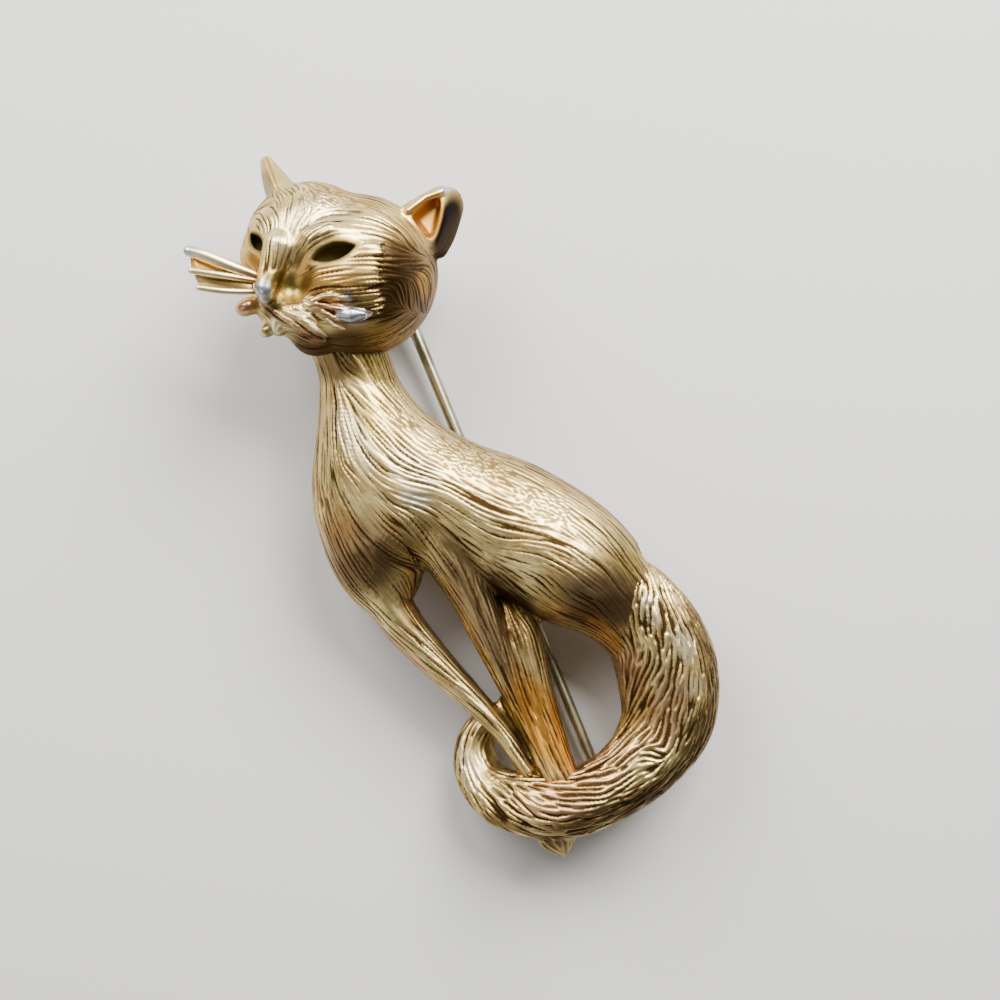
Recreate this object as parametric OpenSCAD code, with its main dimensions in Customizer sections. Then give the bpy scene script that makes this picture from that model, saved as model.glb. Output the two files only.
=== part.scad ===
// Figural cat brooch: a seated cat, cast hollow-backed in gold-tone metal, with a hinged pin stem.
// It lies on its back: the table is z = 0, +Z comes out of the front, +Y runs along the stem to the
// head, and +X points to the side of the tail. The origin is the middle of the outline on the table.

/* [Figure] */
// Width of the figure, from the whisker tips to the outside of the tail
figure_w = 26; // [24:0.5:28]
// Height of the figure, from the paw to the tip of the far ear
figure_h = 60; // [57:1:64]
// Depth of the figure, from the table to the tip of the nose
figure_d = 16; // [15:0.5:17.5]
// Height of the flat back above the table, which leaves room for cloth behind the stem
back_z = 3.6; // [3.4:0.1:4]
// Thickness of the cast wall
wall = 1.4; // [1.1:0.1:1.8]

/* [Body and legs] */
// Width of the body at the haunch
torso_w = 11; // [10:0.5:12]
// Swell of the body towards the front
torso_rise = 5.2; // [4.6:0.2:5.8]
// Width of the near foreleg's shoulder
shoulder_w = 8.5; // [7.5:0.5:9.5]
// Swell of the shoulder towards the front
shoulder_rise = 4.5; // [4:0.25:5]
// Width of the middle foreleg at its top
foreleg_w = 4.5; // [4:0.25:5]
// Swell of the middle foreleg towards the front
foreleg_rise = 3.4; // [3:0.2:4]
// Width of the hind leg at its top
hind_leg_w = 3.1; // [2.8:0.1:3.5]
// Swell of the hind leg towards the front
hind_leg_rise = 2.2; // [1.9:0.1:2.6]
// Width of the chest
chest_w = 9.2; // [8.2:0.2:10]
// Swell of the chest towards the front
chest_rise = 4.8; // [4.2:0.2:5.4]
// Length of the thigh
thigh_l = 13.4; // [12:0.2:14.6]
// Width of the thigh
thigh_w = 9.6; // [8.6:0.2:10.4]
// Swell of the thigh towards the front
thigh_rise = 5.7; // [5:0.1:6.2]
// Turn of the thigh from the figure's height
thigh_turn = 35; // [30:1:40]
// Size of the paw below the tail
paw_w = 4; // [3.5:0.25:4.5]

/* [Tail] */
// Width of the tail at its fullest
tail_w = 8.2; // [7.4:0.2:9]
// Swell of the tail towards the front
tail_rise = 4.2; // [3.8:0.2:4.8]

/* [Head] */
// Width of the round of the head
head_w = 14.5; // [13.5:0.5:15.5]
// Length of the near eye's opening
eye_l = 3.5; // [3.2:0.1:4]
// Height of the near eye's opening
eye_h = 1.3; // [1:0.1:1.5]
// Thickness of a whisker at its root
whisker_d = 0.7; // [0.6:0.05:0.9]
// Thickness of an ear at its edge
ear_edge = 0.9; // [0.7:0.1:1.2]
// Thickness of the ridge down the nose
nose_w = 1.65; // [1.4:0.05:1.9]
// Thickness of the ridge over the near eye
brow_w = 1.6; // [1.4:0.05:1.9]

/* [Pin] */
// Diameter of the stem's wire
stem_d = 0.95; // [0.8:0.05:1.05]
// Radius of the joint's ears and of the catch, which stand on the table round the stem
joint_r = 1.7; // [1.6:0.05:1.8]
// Thickness of each ear of the joint
lug_t = 0.7; // [0.6:0.05:0.9]
// Diameter of the rivet
rivet_d = 0.8; // [0.7:0.05:0.9]
// Length of the rivet that stands out of each ear
rivet_proud = 0.25; // [0.15:0.05:0.4]
// Length of the eye that is rolled in the stem's end
eye_w = 1.5; // [1.2:0.1:1.8]
// Outer diameter of that eye
eye_d = 2.4; // [2.2:0.05:2.5]
// Length of the catch along the stem
catch_l = 1.8; // [1.4:0.1:2.2]
// Thickness of the catch's strip
catch_t = 0.65; // [0.5:0.05:0.8]
// Length of the stem's root, from the rivet to where the wire is even
root_l = 2.7; // [2.5:0.1:3.2]
// Diameter of the root where it leaves the eye
root_d = 1.15; // [1.05:0.05:1.3]
// Length of the stem's point
point_l = 6; // [5:0.5:7]
// Diameter at the tip of the point
tip_d = 0.19; // [0.15:0.01:0.25]

/* [Clearances] */
// Gap round the rivet in the stem's eye
running_gap = 0.06; // [0.04:0.01:0.08]
// Gap round the rivet in the joint's ears
rivet_gap = 0.03; // [0.02:0.01:0.05]
// Gap between the stem's eye and each ear
side_gap = 0.08; // [0.05:0.01:0.12]

/* [Hidden] */

gold = "#c8a45a";
steel = "#8f8b7d";

ring_sides = 16;
ring_steps = 2;
ball_sides = 20;
wire_sides = 8;
bore_sides = 36;
past = 1;
hollow_end_share = 0.6;

stem_x = 0.02 * figure_w;
stem_z = joint_r;
hinge_y = -0.445 * figure_h;
catch_y = 0.285 * figure_h;
point_past = point_l / 2 + catch_l / 2;
stem_tip_y = catch_y + point_past;
joint_w = eye_w + 2 * side_gap + 2 * lug_t;
plate_z = eye_d / 2 + side_gap;

// A limb's table has a row for each section of it. Its columns are the place across, the place along
// and the height of the section's widest line, as shares of the figure's width, height and depth,
// then its width and its swell as shares of the limb's own, and how far its underside goes from the
// flat back, 0, to the table, 1.
WIDTH = 3;
SWELL = 4;
FOOT = 5;

TORSO = [
    [-0.186,  0.280, 0.48, 0.50, 0.50, 0],
    [-0.190,  0.205, 0.42, 0.53, 0.58, 0],
    [-0.203,  0.170, 0.39, 0.58, 0.66, 0],
    [-0.203,  0.120, 0.37, 0.70, 0.80, 0],
    [-0.172,  0.060, 0.36, 0.86, 0.92, 0],
    [-0.070,  0.000, 0.35, 0.89, 0.98, 0],
    [ 0.065, -0.065, 0.35, 0.98, 1.00, 0],
    [ 0.185, -0.130, 0.35, 0.92, 0.97, 0],
    [ 0.255, -0.180, 0.34, 0.78, 0.86, 0],
    [ 0.290, -0.220, 0.33, 0.64, 0.72, 0],
    [ 0.300, -0.260, 0.32, 0.50, 0.56, 0]];

SHOULDER = [
    [-0.225,  0.180, 0.38, 0.50, 0.62, 0.0],
    [-0.266,  0.125, 0.36, 0.73, 0.80, 0.4],
    [-0.310,  0.060, 0.35, 0.96, 0.95, 0.9],
    [-0.330,  0.000, 0.34, 1.00, 1.00, 1.0],
    [-0.352, -0.045, 0.33, 0.82, 0.87, 0.9],
    [-0.368, -0.090, 0.33, 0.46, 0.66, 0.3],
    [-0.355, -0.130, 0.33, 0.39, 0.55, 0.0],
    [-0.321, -0.175, 0.33, 0.34, 0.48, 0.0],
    [-0.283, -0.218, 0.33, 0.29, 0.42, 0.0],
    [-0.243, -0.260, 0.33, 0.25, 0.37, 0.0],
    [-0.199, -0.313, 0.34, 0.19, 0.31, 0.0],
    [-0.171, -0.372, 0.37, 0.14, 0.25, 0.0]];

CHEST = [
    [-0.203,  0.205, 0.38, 0.48, 0.54, 0],
    [-0.222,  0.135, 0.38, 0.78, 0.84, 0],
    [-0.240,  0.071, 0.38, 1.00, 1.00, 0],
    [-0.235,  0.007, 0.38, 0.98, 1.00, 0],
    [-0.208, -0.028, 0.38, 0.52, 0.82, 0],
    [-0.165, -0.072, 0.37, 0.18, 0.50, 0]];

FORELEG = [
    [-0.155,  0.015, 0.39, 1.00, 0.92, 0],
    [-0.145, -0.050, 0.40, 0.98, 1.00, 0],
    [-0.125, -0.120, 0.39, 0.83, 0.88, 0],
    [-0.117, -0.185, 0.38, 0.72, 0.74, 0],
    [-0.115, -0.248, 0.38, 0.55, 0.60, 0],
    [-0.113, -0.312, 0.38, 0.42, 0.47, 0],
    [-0.111, -0.390, 0.40, 0.34, 0.41, 0]];

HIND_LEG = [
    [ 0.020, -0.125, 0.33, 0.70, 0.30, 0],
    [-0.008, -0.165, 0.34, 0.92, 0.75, 0],
    [-0.033, -0.217, 0.35, 1.00, 0.95, 0],
    [-0.053, -0.280, 0.35, 0.88, 0.86, 0],
    [-0.071, -0.345, 0.36, 0.84, 0.82, 0],
    [-0.078, -0.405, 0.38, 0.80, 0.73, 0]];

// A thin web fills the slit between the two forelegs where the end of the tail lies behind them.
LEG_WEB = [
    [-0.150, -0.286, 0.30, 0.50, 0.26, 0],
    [-0.148, -0.320, 0.30, 0.65, 0.30, 0],
    [-0.148, -0.385, 0.32, 0.70, 0.30, 0]];

TAIL = [
    [ 0.300, -0.170, 0.36, 0.40, 0.55, 0.0],
    [ 0.315, -0.195, 0.35, 0.66, 0.80, 0.1],
    [ 0.336, -0.228, 0.32, 0.82, 0.93, 0.5],
    [ 0.350, -0.277, 0.29, 0.96, 1.00, 1.0],
    [ 0.340, -0.328, 0.28, 1.00, 1.00, 1.0],
    [ 0.285, -0.383, 0.29, 0.91, 0.93, 0.7],
    [ 0.173, -0.417, 0.34, 0.76, 0.81, 0.1],
    [ 0.050, -0.433, 0.37, 0.67, 0.71, 0.0],
    [-0.078, -0.434, 0.38, 0.66, 0.69, 0.0],
    [-0.193, -0.418, 0.35, 0.64, 0.65, 0.0],
    [-0.278, -0.395, 0.28, 0.57, 0.58, 0.4],
    [-0.320, -0.361, 0.20, 0.48, 0.50, 0.7],
    [-0.308, -0.328, 0.17, 0.42, 0.42, 0.7],
    [-0.268, -0.305, 0.17, 0.33, 0.36, 0.6],
    [-0.212, -0.297, 0.18, 0.30, 0.32, 0.5],
    [-0.150, -0.300, 0.21, 0.24, 0.27, 0.3]];

// The head is a heap of soft lobes. The columns are the place of each lobe's centre, as shares of the
// figure's width, height and depth, then its radii: two as shares of the head's width, and the one
// towards the front as a share of the figure's depth.
LOBE_X = 3;
LOBE_Y = 4;
LOBE_Z = 5;

HEAD = [
    [-0.085, 0.318, 0.50, 0.458, 0.440, 0.453],  // skull
    [-0.169, 0.377, 0.59, 0.345, 0.321, 0.313],  // forehead
    [-0.288, 0.378, 0.63, 0.165, 0.150, 0.172],  // far cheek
    [-0.100, 0.300, 0.63, 0.305, 0.250, 0.313],  // near cheek
    [-0.275, 0.316, 0.66, 0.205, 0.205, 0.227],  // muzzle
    [-0.265, 0.292, 0.81, 0.138, 0.103, 0.100],  // near lip
    [-0.400, 0.323, 0.77, 0.069, 0.048, 0.069],  // far lip
    [-0.378, 0.287, 0.73, 0.040, 0.034, 0.054],  // far side of the chin
    [-0.341, 0.281, 0.79, 0.036, 0.038, 0.054],  // near side of the chin
    [-0.262, 0.263, 0.58, 0.145, 0.165, 0.218]]; // jaw

// A closed room behind the eyes, and the way into it from the back, below the room.
HEAD_HOLLOW = [
    [-0.165, 0.357, 0.60, 0.303, 0.221, 0.200],
    [-0.131, 0.287, 0.225, 0.220, 0.166, 0.350]];

// Strokes are chains of balls. The columns are the place of a ball's centre, as shares of the figure's
// width, height and depth, and its diameter as a share of the stroke's own.
THICKNESS = 3;

VALLEY = [
    [-0.292, 0.317, 0.905, 0.60],
    [-0.254, 0.319, 0.905, 1.35],
    [-0.215, 0.334, 0.930, 1.00],
    [-0.192, 0.347, 0.945, 0.70]];

NOSE = [
    [-0.3315, 0.3225, 0.869, 0.73],
    [-0.327, 0.331, 0.891, 0.91],
    [-0.296, 0.348, 0.875, 1.10],
    [-0.246, 0.373, 0.850, 1.60]];

NOSTRIL = [
    [-0.315, 0.339, 0.910, 0.45],
    [-0.277, 0.337, 0.920, 0.50],
    [-0.240, 0.329, 0.905, 0.25]];

BROW = [
    [-0.205, 0.352, 0.86, 0.8],
    [-0.150, 0.364, 0.91, 1.0],
    [-0.095, 0.363, 0.92, 1.0],
    [-0.030, 0.348, 0.86, 0.8]];

FAR_WHISKERS = [
    [[-0.327, 0.3475, 0.850, 0.80], [-0.400, 0.375, 0.890, 1.35], [-0.454, 0.397, 0.905, 1.45],
     [-0.488, 0.409, 0.912, 1.20]],
    [[-0.338, 0.344, 0.850, 0.60], [-0.423, 0.365, 0.895, 0.75], [-0.502, 0.385, 0.912, 0.75]],
    [[-0.352, 0.332, 0.850, 0.60], [-0.434, 0.346, 0.890, 0.75], [-0.502, 0.362, 0.908, 0.70]]];

NEAR_WHISKERS = [
    [[-0.326, 0.299, 0.890, 0.55], [-0.292, 0.277, 0.895, 0.70], [-0.258, 0.254, 0.860, 0.65],
     [-0.231, 0.245, 0.835, 0.55]],
    [[-0.300, 0.297, 0.900, 0.85], [-0.262, 0.277, 0.905, 1.45], [-0.238, 0.258, 0.890, 1.00],
     [-0.221, 0.248, 0.865, 0.50]],
    [[-0.269, 0.293, 0.905, 0.70], [-0.242, 0.278, 0.905, 0.85], [-0.229, 0.267, 0.890, 0.50]],
    [[-0.238, 0.293, 0.910, 0.55], [-0.208, 0.272, 0.905, 0.65], [-0.183, 0.254, 0.880, 0.60],
     [-0.163, 0.2475, 0.865, 0.45]],
    [[-0.225, 0.288, 0.915, 0.50], [-0.188, 0.270, 0.910, 0.60], [-0.165, 0.258, 0.895, 0.45]],
    [[-0.212, 0.288, 0.920, 0.50], [-0.165, 0.275, 0.920, 0.60], [-0.135, 0.267, 0.905, 0.70]],
    [[-0.219, 0.293, 0.920, 0.50], [-0.181, 0.293, 0.932, 0.60], [-0.146, 0.287, 0.930, 0.60],
     [-0.115, 0.277, 0.915, 0.70]],
    [[-0.154, 0.265, 0.895, 1.20], [-0.127, 0.258, 0.900, 1.60], [-0.100, 0.254, 0.885, 1.25],
     [-0.083, 0.253, 0.870, 0.80]]];

// Corners of the thin webs between the far whiskers, in the same columns.
WHISKER_WEBS = [
    [[-0.358, 0.354, 0.840, 0.5], [-0.488, 0.400, 0.895, 0.5], [-0.496, 0.388, 0.895, 0.5],
     [-0.358, 0.346, 0.840, 0.5]],
    [[-0.365, 0.342, 0.840, 0.5], [-0.496, 0.381, 0.890, 0.5], [-0.496, 0.369, 0.885, 0.5],
     [-0.370, 0.336, 0.840, 0.5]]];

// Corners of the ears and of the paw, in the same columns as the strokes.
FAR_EAR = [
    [-0.202, 0.496, 0.620, 0.8],
    [-0.186, 0.496, 0.620, 0.8],
    [-0.221, 0.472, 0.580, 0.7],
    [-0.221, 0.450, 0.540, 1.1],
    [-0.166, 0.472, 0.580, 0.7],
    [-0.153, 0.448, 0.575, 1.1],
    [-0.199, 0.470, 0.680, 0.5],
    [-0.192, 0.440, 0.750, 0.9],
    [-0.188, 0.442, 0.450, 1.9]];

NEAR_EAR = [
    [0.127, 0.365, 0.690, 0.90],
    [0.257, 0.376, 0.600, 0.90],
    [0.295, 0.367, 0.520, 0.90],
    [0.295, 0.351, 0.495, 0.85],
    [0.235, 0.319, 0.490, 0.90],
    [0.183, 0.301, 0.510, 1.00],
    [0.163, 0.310, 0.650, 0.65],
    [0.236, 0.344, 0.630, 0.50],
    [0.100, 0.333, 0.470, 3.10]];

NEAR_EAR_CUP = [
    [0.145, 0.358, 0.790, 0.55],
    [0.246, 0.368, 0.715, 0.45],
    [0.231, 0.347, 0.720, 0.35],
    [0.164, 0.314, 0.760, 0.45],
    [0.165, 0.348, 0.610, 0.70],
    [0.226, 0.359, 0.580, 0.60],
    [0.177, 0.328, 0.600, 0.60]];

PAW = [
    [-0.167, -0.488, 0.33, 0.36],
    [-0.206, -0.467, 0.35, 0.36],
    [-0.126, -0.470, 0.35, 0.40],
    [-0.172, -0.446, 0.43, 0.46],
    [-0.168, -0.472, 0.40, 0.30]];

THIGH = [0.162, -0.124, 0.35];
NEAR_EYE = [-0.106, 0.338, 0.60];
FAR_EYE = [-0.304, 0.393, 0.45];
near_eye_turn = -6;
far_eye_turn = 103;
far_eye_l = 0.5 * eye_l;
far_eye_h = 0.65 * eye_h;

function placed(r) = [r.x * figure_w, r.y * figure_h, r.z * figure_d];

// A sized row is in millimetres, and its last three columns are half its width, its swell above its
// widest line and its depth below that line.
function sized_rows(table, limb_w, limb_rise) = [for (r = table)
    concat(placed(r),
        [r[WIDTH] * limb_w / 2, r[SWELL] * limb_rise, r.z * figure_d - back_z * (1 - r[FOOT])])];

// The hollow inside some of a limb's rows: a wall's thickness smaller, rounded off at both ends and
// open at the back.
function hollow_rows(rows, first, last) = [for (i = [first : last])
    let (r = rows[i])
    let (end = i == first || i == last ? hollow_end_share : 1)
    [r.x, r.y, r.z, end * (r[WIDTH] - wall), end * (r[SWELL] - wall), r[FOOT] + back_z]];

// A smooth curve through the rows, in the manner of Catmull and Rom.
function between(a, b, c, d, t) =
    0.5 * (2 * b + (c - a) * t + (2 * a - 5 * b + 4 * c - d) * t * t + (3 * b - a - 3 * c + d) * t * t * t);

function smooth_rows(rows) = let (last = len(rows) - 1) [
    for (i = [0 : last - 1]) for (j = [0 : ring_steps - 1])
        between(rows[max(i - 1, 0)], rows[i], rows[i + 1], rows[min(i + 2, last)], j / ring_steps),
    rows[last]];

function heading(rows, i) =
    let (step = rows[min(i + 1, len(rows) - 1)] - rows[max(i - 1, 0)])
    [step.x, step.y] / norm([step.x, step.y]);

function ring(row, way) = [for (k = [0 : ring_sides - 1])
    let (turn = 360 * k / ring_sides)
    let (side = cos(turn) * row[WIDTH])
    let (lift = sin(turn) * (sin(turn) > 0 ? row[SWELL] : row[FOOT]))
    [row.x + way.y * side, row.y - way.x * side, row.z + lift]];

// A limb: rings round the smooth curve through its rows, closed at both ends.
module limb(rows) {
    fine = smooth_rows(rows);
    n = len(fine);
    points = [for (i = [0 : n - 1]) each ring(fine[i], heading(fine, i))];
    sides = [for (i = [0 : n - 2]) for (k = [0 : ring_sides - 1])
        let (a = i * ring_sides + k)
        let (b = i * ring_sides + (k + 1) % ring_sides)
        each [[a, b, b + ring_sides], [a, b + ring_sides, a + ring_sides]]];
    first = [for (k = [ring_sides - 1 : -1 : 0]) k];
    last = [for (k = [0 : ring_sides - 1]) (n - 1) * ring_sides + k];
    polyhedron(points, concat(sides, [first, last]));
}

module lobes(table) {
    for (r = table)
        translate(placed(r))
            scale([r[LOBE_X] * head_w, r[LOBE_Y] * head_w, r[LOBE_Z] * figure_d])
                sphere(r = 1, $fn = ball_sides);
}

module ball(r, stroke_d) {
    translate(placed(r))
        sphere(d = r[THICKNESS] * stroke_d, $fn = wire_sides);
}

module stroke(table, stroke_d) {
    for (i = [0 : len(table) - 2])
        hull() {
            ball(table[i], stroke_d);
            ball(table[i + 1], stroke_d);
        }
}

module hulled(table, stroke_d) {
    hull()
        for (r = table)
            ball(r, stroke_d);
}

module thigh() {
    translate(placed(THIGH))
        rotate(thigh_turn)
            scale([thigh_w / 2, thigh_l / 2, thigh_rise])
                sphere(r = 1, $fn = ball_sides);
}

module head() {
    difference() {
        union() {
            lobes(HEAD);
            stroke(BROW, brow_w);
        }
        stroke(VALLEY, nose_w);
    }
    stroke(NOSE, nose_w);
    stroke(NOSTRIL, nose_w);
    hulled(FAR_EAR, ear_edge);
    difference() {
        hulled(NEAR_EAR, ear_edge);
        hulled(NEAR_EAR_CUP, ear_edge);
    }
    for (whisker = concat(FAR_WHISKERS, NEAR_WHISKERS))
        stroke(whisker, whisker_d);
    for (web = WHISKER_WEBS)
        hulled(web, whisker_d);
}

// An eye's almond is where two circles overlap.
module almond(l, h) {
    r = (l * l + h * h) / (4 * h);
    intersection() {
        translate([0, r - h / 2])
            circle(r, $fn = bore_sides);
        translate([0, h / 2 - r])
            circle(r, $fn = bore_sides);
    }
}

module eyes() {
    translate(placed(NEAR_EYE))
        rotate(near_eye_turn)
            linear_extrude(figure_d)
                almond(eye_l, eye_h);
    translate(placed(FAR_EYE))
        rotate(far_eye_turn)
            linear_extrude(figure_d)
                almond(far_eye_l, far_eye_h);
}

module below_back() {
    translate([-figure_w, -figure_h, -figure_d])
        cube([2 * figure_w, 2 * figure_h, figure_d + back_z]);
}

module below_table() {
    translate([-figure_w, -figure_h, -figure_d])
        cube([2 * figure_w, 2 * figure_h, figure_d]);
}

// The inside of the casting: the head behind the eyes, and one hollow behind the chest and the body.
module hollows() {
    lobes(HEAD_HOLLOW);
    limb(hollow_rows(sized_rows(TORSO, torso_w, torso_rise), 3, 8));
    limb(hollow_rows(sized_rows(CHEST, chest_w, chest_rise), 1, 4));
    limb(hollow_rows(sized_rows(SHOULDER, shoulder_w, shoulder_rise), 1, 4));
}

module casting() {
    difference() {
        union() {
            limb(sized_rows(TORSO, torso_w, torso_rise));
            limb(sized_rows(SHOULDER, shoulder_w, shoulder_rise));
            limb(sized_rows(CHEST, chest_w, chest_rise));
            limb(sized_rows(FORELEG, foreleg_w, foreleg_rise));
            limb(sized_rows(LEG_WEB, foreleg_w, foreleg_rise));
            limb(sized_rows(HIND_LEG, hind_leg_w, hind_leg_rise));
            limb(sized_rows(TAIL, tail_w, tail_rise));
            difference() {
                union() {
                    thigh();
                    hulled(PAW, paw_w);
                    head();
                }
                below_back();
            }
        }
        hollows();
        eyes();
        below_table();
    }
}

// Something round across the stem, centred on it.
module cross_rod(d, l) {
    rotate([0, 90, 0])
        cylinder(d = d, h = l, center = true, $fn = bore_sides);
}

// The joint: a plate on the tail's back and two ears that hold the rivet.
module joint() {
    translate([stem_x, hinge_y, stem_z])
        difference() {
            union() {
                for (side = [-1, 1])
                    translate([side * (joint_w - lug_t) / 2, 0, 0])
                        hull() {
                            cross_rod(2 * joint_r, lug_t);
                            translate([-lug_t / 2, -joint_r, joint_r])
                                cube([lug_t, 2 * joint_r, back_z - stem_z - joint_r + past]);
                        }
                translate([-joint_w / 2, -joint_r, plate_z])
                    cube([joint_w, 2 * joint_r, back_z - stem_z - plate_z + past]);
            }
            cross_rod(rivet_d + 2 * rivet_gap, joint_w + past);
        }
}

// The catch: a strip bent round under the stem, open on the side of the chest.
module catch_hook() {
    translate([stem_x, catch_y, stem_z])
        rotate([90, 0, 0])
            linear_extrude(catch_l, center = true)
                difference() {
                    union() {
                        circle(joint_r, $fn = bore_sides);
                        square([joint_r, back_z - stem_z + past]);
                    }
                    circle(joint_r - catch_t, $fn = bore_sides);
                    translate([-joint_r - past, -joint_r / 4])
                        square([joint_r + past, 2 * joint_r]);
                }
}

module figure() {
    color(gold) {
        casting();
        joint();
        catch_hook();
    }
}

module hinge_rivet() {
    color(steel)
        translate([stem_x, hinge_y, stem_z])
            cross_rod(rivet_d, joint_w + 2 * rivet_proud);
}

// A length of the stem's wire that starts so far from the rivet.
module wire(from_y, l, d1, d2) {
    translate([0, from_y, 0])
        rotate([-90, 0, 0])
            cylinder(d1 = d1, d2 = d2, h = l, $fn = bore_sides);
}

module pin_stem() {
    point_y = stem_tip_y - point_l - hinge_y;
    color(steel)
        translate([stem_x, hinge_y, stem_z])
            difference() {
                union() {
                    cross_rod(eye_d, eye_w);
                    wire(0, root_l, root_d, stem_d);
                    wire(root_l, point_y - root_l, stem_d, stem_d);
                    wire(point_y, point_l, stem_d, tip_d);
                }
                cross_rod(rivet_d + 2 * running_gap, eye_w + past);
            }
}

figure();
hinge_rivet();
pin_stem();
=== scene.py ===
import math

import bmesh
import bpy
import numpy as np
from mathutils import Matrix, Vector


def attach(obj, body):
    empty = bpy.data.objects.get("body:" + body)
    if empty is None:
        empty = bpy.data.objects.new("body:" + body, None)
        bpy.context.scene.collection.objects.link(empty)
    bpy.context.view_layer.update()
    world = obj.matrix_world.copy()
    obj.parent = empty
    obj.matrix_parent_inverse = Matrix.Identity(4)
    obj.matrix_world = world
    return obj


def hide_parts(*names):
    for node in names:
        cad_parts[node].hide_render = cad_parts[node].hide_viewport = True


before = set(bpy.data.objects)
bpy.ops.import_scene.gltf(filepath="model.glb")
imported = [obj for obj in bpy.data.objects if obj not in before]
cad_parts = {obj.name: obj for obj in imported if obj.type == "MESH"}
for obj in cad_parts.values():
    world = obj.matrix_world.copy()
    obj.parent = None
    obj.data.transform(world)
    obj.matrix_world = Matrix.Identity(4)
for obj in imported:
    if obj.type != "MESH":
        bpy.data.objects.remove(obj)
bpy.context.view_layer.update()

# Camera
# A phone held over the brooch, which looks straight down. The brooch's upper end leans to the left
# of the picture, so the camera is turned about its own axis.
MM = 0.001
LOOKED_AT = (1.7, -1.5)
CAMERA_HEIGHT = 140.0
PHOTO_TURN = math.radians(-22.4)

camera = bpy.data.objects.new("camera", bpy.data.cameras.new("camera"))
camera.location = (LOOKED_AT[0] * MM, LOOKED_AT[1] * MM, CAMERA_HEIGHT * MM)
camera.rotation_euler = (0, 0, PHOTO_TURN)
camera.data.sensor_width = 36
camera.data.lens = 60.5
camera.data.clip_start, camera.data.clip_end = 0.001, 10
bpy.context.scene.collection.objects.link(camera)
bpy.context.scene.camera = camera

# Body
# The neck, chest, haunch and legs of the cat: one hollow casting in a gold-tone alloy, modelled in
# wax, cast, engraved with fine strands of fur and gold plated, with darker metal left in the cuts.
FIGURE_W, FIGURE_H, FIGURE_D = 26.0, 60.0, 16.0
BACK_Z = 3.6
WALL = 1.4
CELL = 0.108
FAR_AWAY = 9.0
# The share of the faces that is kept on the plain back
BACK_KEPT = 0.05


class Wax:
    """A block of space in small cells. skin says how far each corner is outside the metal, in mm,
    and cuts how far it is outside of what was cut away."""

    def __init__(self, low, high, cell):
        self.low, self.cell = np.array(low, float), cell
        count = np.ceil((np.array(high) - self.low) / cell).astype(int) + 1
        self.axes = [self.low[k] + cell * np.arange(count[k]) for k in range(3)]
        self.skin = np.full(count, FAR_AWAY, np.float32)
        self.cuts = np.full(count, FAR_AWAY, np.float32)
        self.slope = None

    def window(self, low, high):
        span = [slice(*np.searchsorted(a, (l, h))) for a, l, h in zip(self.axes, low, high)]
        x, y, z = (a[s].astype(np.float32) for a, s in zip(self.axes, span))
        return tuple(span), x[:, None, None], y[None, :, None], z[None, None, :]

    def add(self, form, soft=0.0):
        low, high, away = form
        span, x, y, z = self.window(low, high)
        self.skin[span] = merged(self.skin[span], away(x, y, z), soft)

    def dent(self, form, soft=0.0):
        low, high, away = form
        span, x, y, z = self.window(low, high)
        self.skin[span] = -merged(-self.skin[span], away(x, y, z), soft)

    def cut(self, form, soft=0.0):
        self.dent(form, soft)
        low, high, away = form
        span, x, y, z = self.window(low, high)
        self.cuts[span] = np.minimum(self.cuts[span], away(x, y, z))


def merged(a, b, soft):
    """Two forms run into one, with a fillet of the given size."""
    if not soft:
        return np.minimum(a, b)
    near = np.maximum(soft - np.abs(a - b), 0) / soft
    return np.minimum(a, b) - near * near * soft / 4


def padded_box(low, high, room=1.5):
    """A box with room round it, in which a form's distances are worked out."""
    return [v - room for v in low], [v + room for v in high]


def limb_rows(table, width, rise, hollow=None):
    """A limb's sections in mm: place across and along, height, half width, swell and depth below."""
    rows = [(a * FIGURE_W, b * FIGURE_H, c * FIGURE_D, w * width / 2, s * rise,
             c * FIGURE_D - BACK_Z * (1 - foot)) for a, b, c, w, s, foot in table]
    if hollow:
        first, last = hollow
        rows = [(x, y, z, (w - WALL) * end, (up - WALL) * end, down + BACK_Z)
                for i, (x, y, z, w, up, down) in enumerate(rows[:last + 1]) if i >= first
                for end in [HOLLOW_END if i in hollow else 1]]
    return smooth_rows(np.array(rows))


def smooth_rows(rows, steps=14):
    """A smooth curve through the rows, in the manner of Catmull and Rom."""
    fine = []
    for i in range(len(rows) - 1):
        a, b, c, d = (rows[min(max(j, 0), len(rows) - 1)] for j in range(i - 1, i + 3))
        for t in np.arange(steps) / steps:
            fine.append(0.5 * (2 * b + (c - a) * t + (2 * a - 5 * b + 4 * c - d) * t ** 2
                               + (3 * b - a - 3 * c + d) * t ** 3))
    return np.array(fine + [rows[-1]])


def nearest_rows(rows, x, y):
    """For places on the table: the limb's section there, its heading and the share off its middle."""
    x, y = np.broadcast_arrays(np.asarray(x, np.float32), np.asarray(y, np.float32))
    best = np.full(x.shape, 1e9, np.float32)
    section = np.zeros((6,) + x.shape, np.float32)
    way = np.zeros((2,) + x.shape, np.float32)
    off = np.zeros(x.shape, np.float32)
    for a, b in zip(rows, rows[1:]):
        step = b - a
        length2 = step[0] ** 2 + step[1] ** 2
        t = np.clip(((x - a[0]) * step[0] + (y - a[1]) * step[1]) / length2, 0, 1)
        dx, dy = x - a[0] - t * step[0], y - a[1] - t * step[1]
        share = np.hypot(dx, dy) / (a[3] + t * step[3])
        nearer = share < best
        best = np.where(nearer, share, best)
        for k in range(6):
            section[k] = np.where(nearer, a[k] + t * step[k], section[k])
        for k in range(2):
            way[k] = np.where(nearer, step[k] / math.sqrt(length2), way[k])
        side = np.sign(dx * step[1] - dy * step[0])
        off = np.where(nearer, share * side, off)
    return section, way, off


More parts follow.
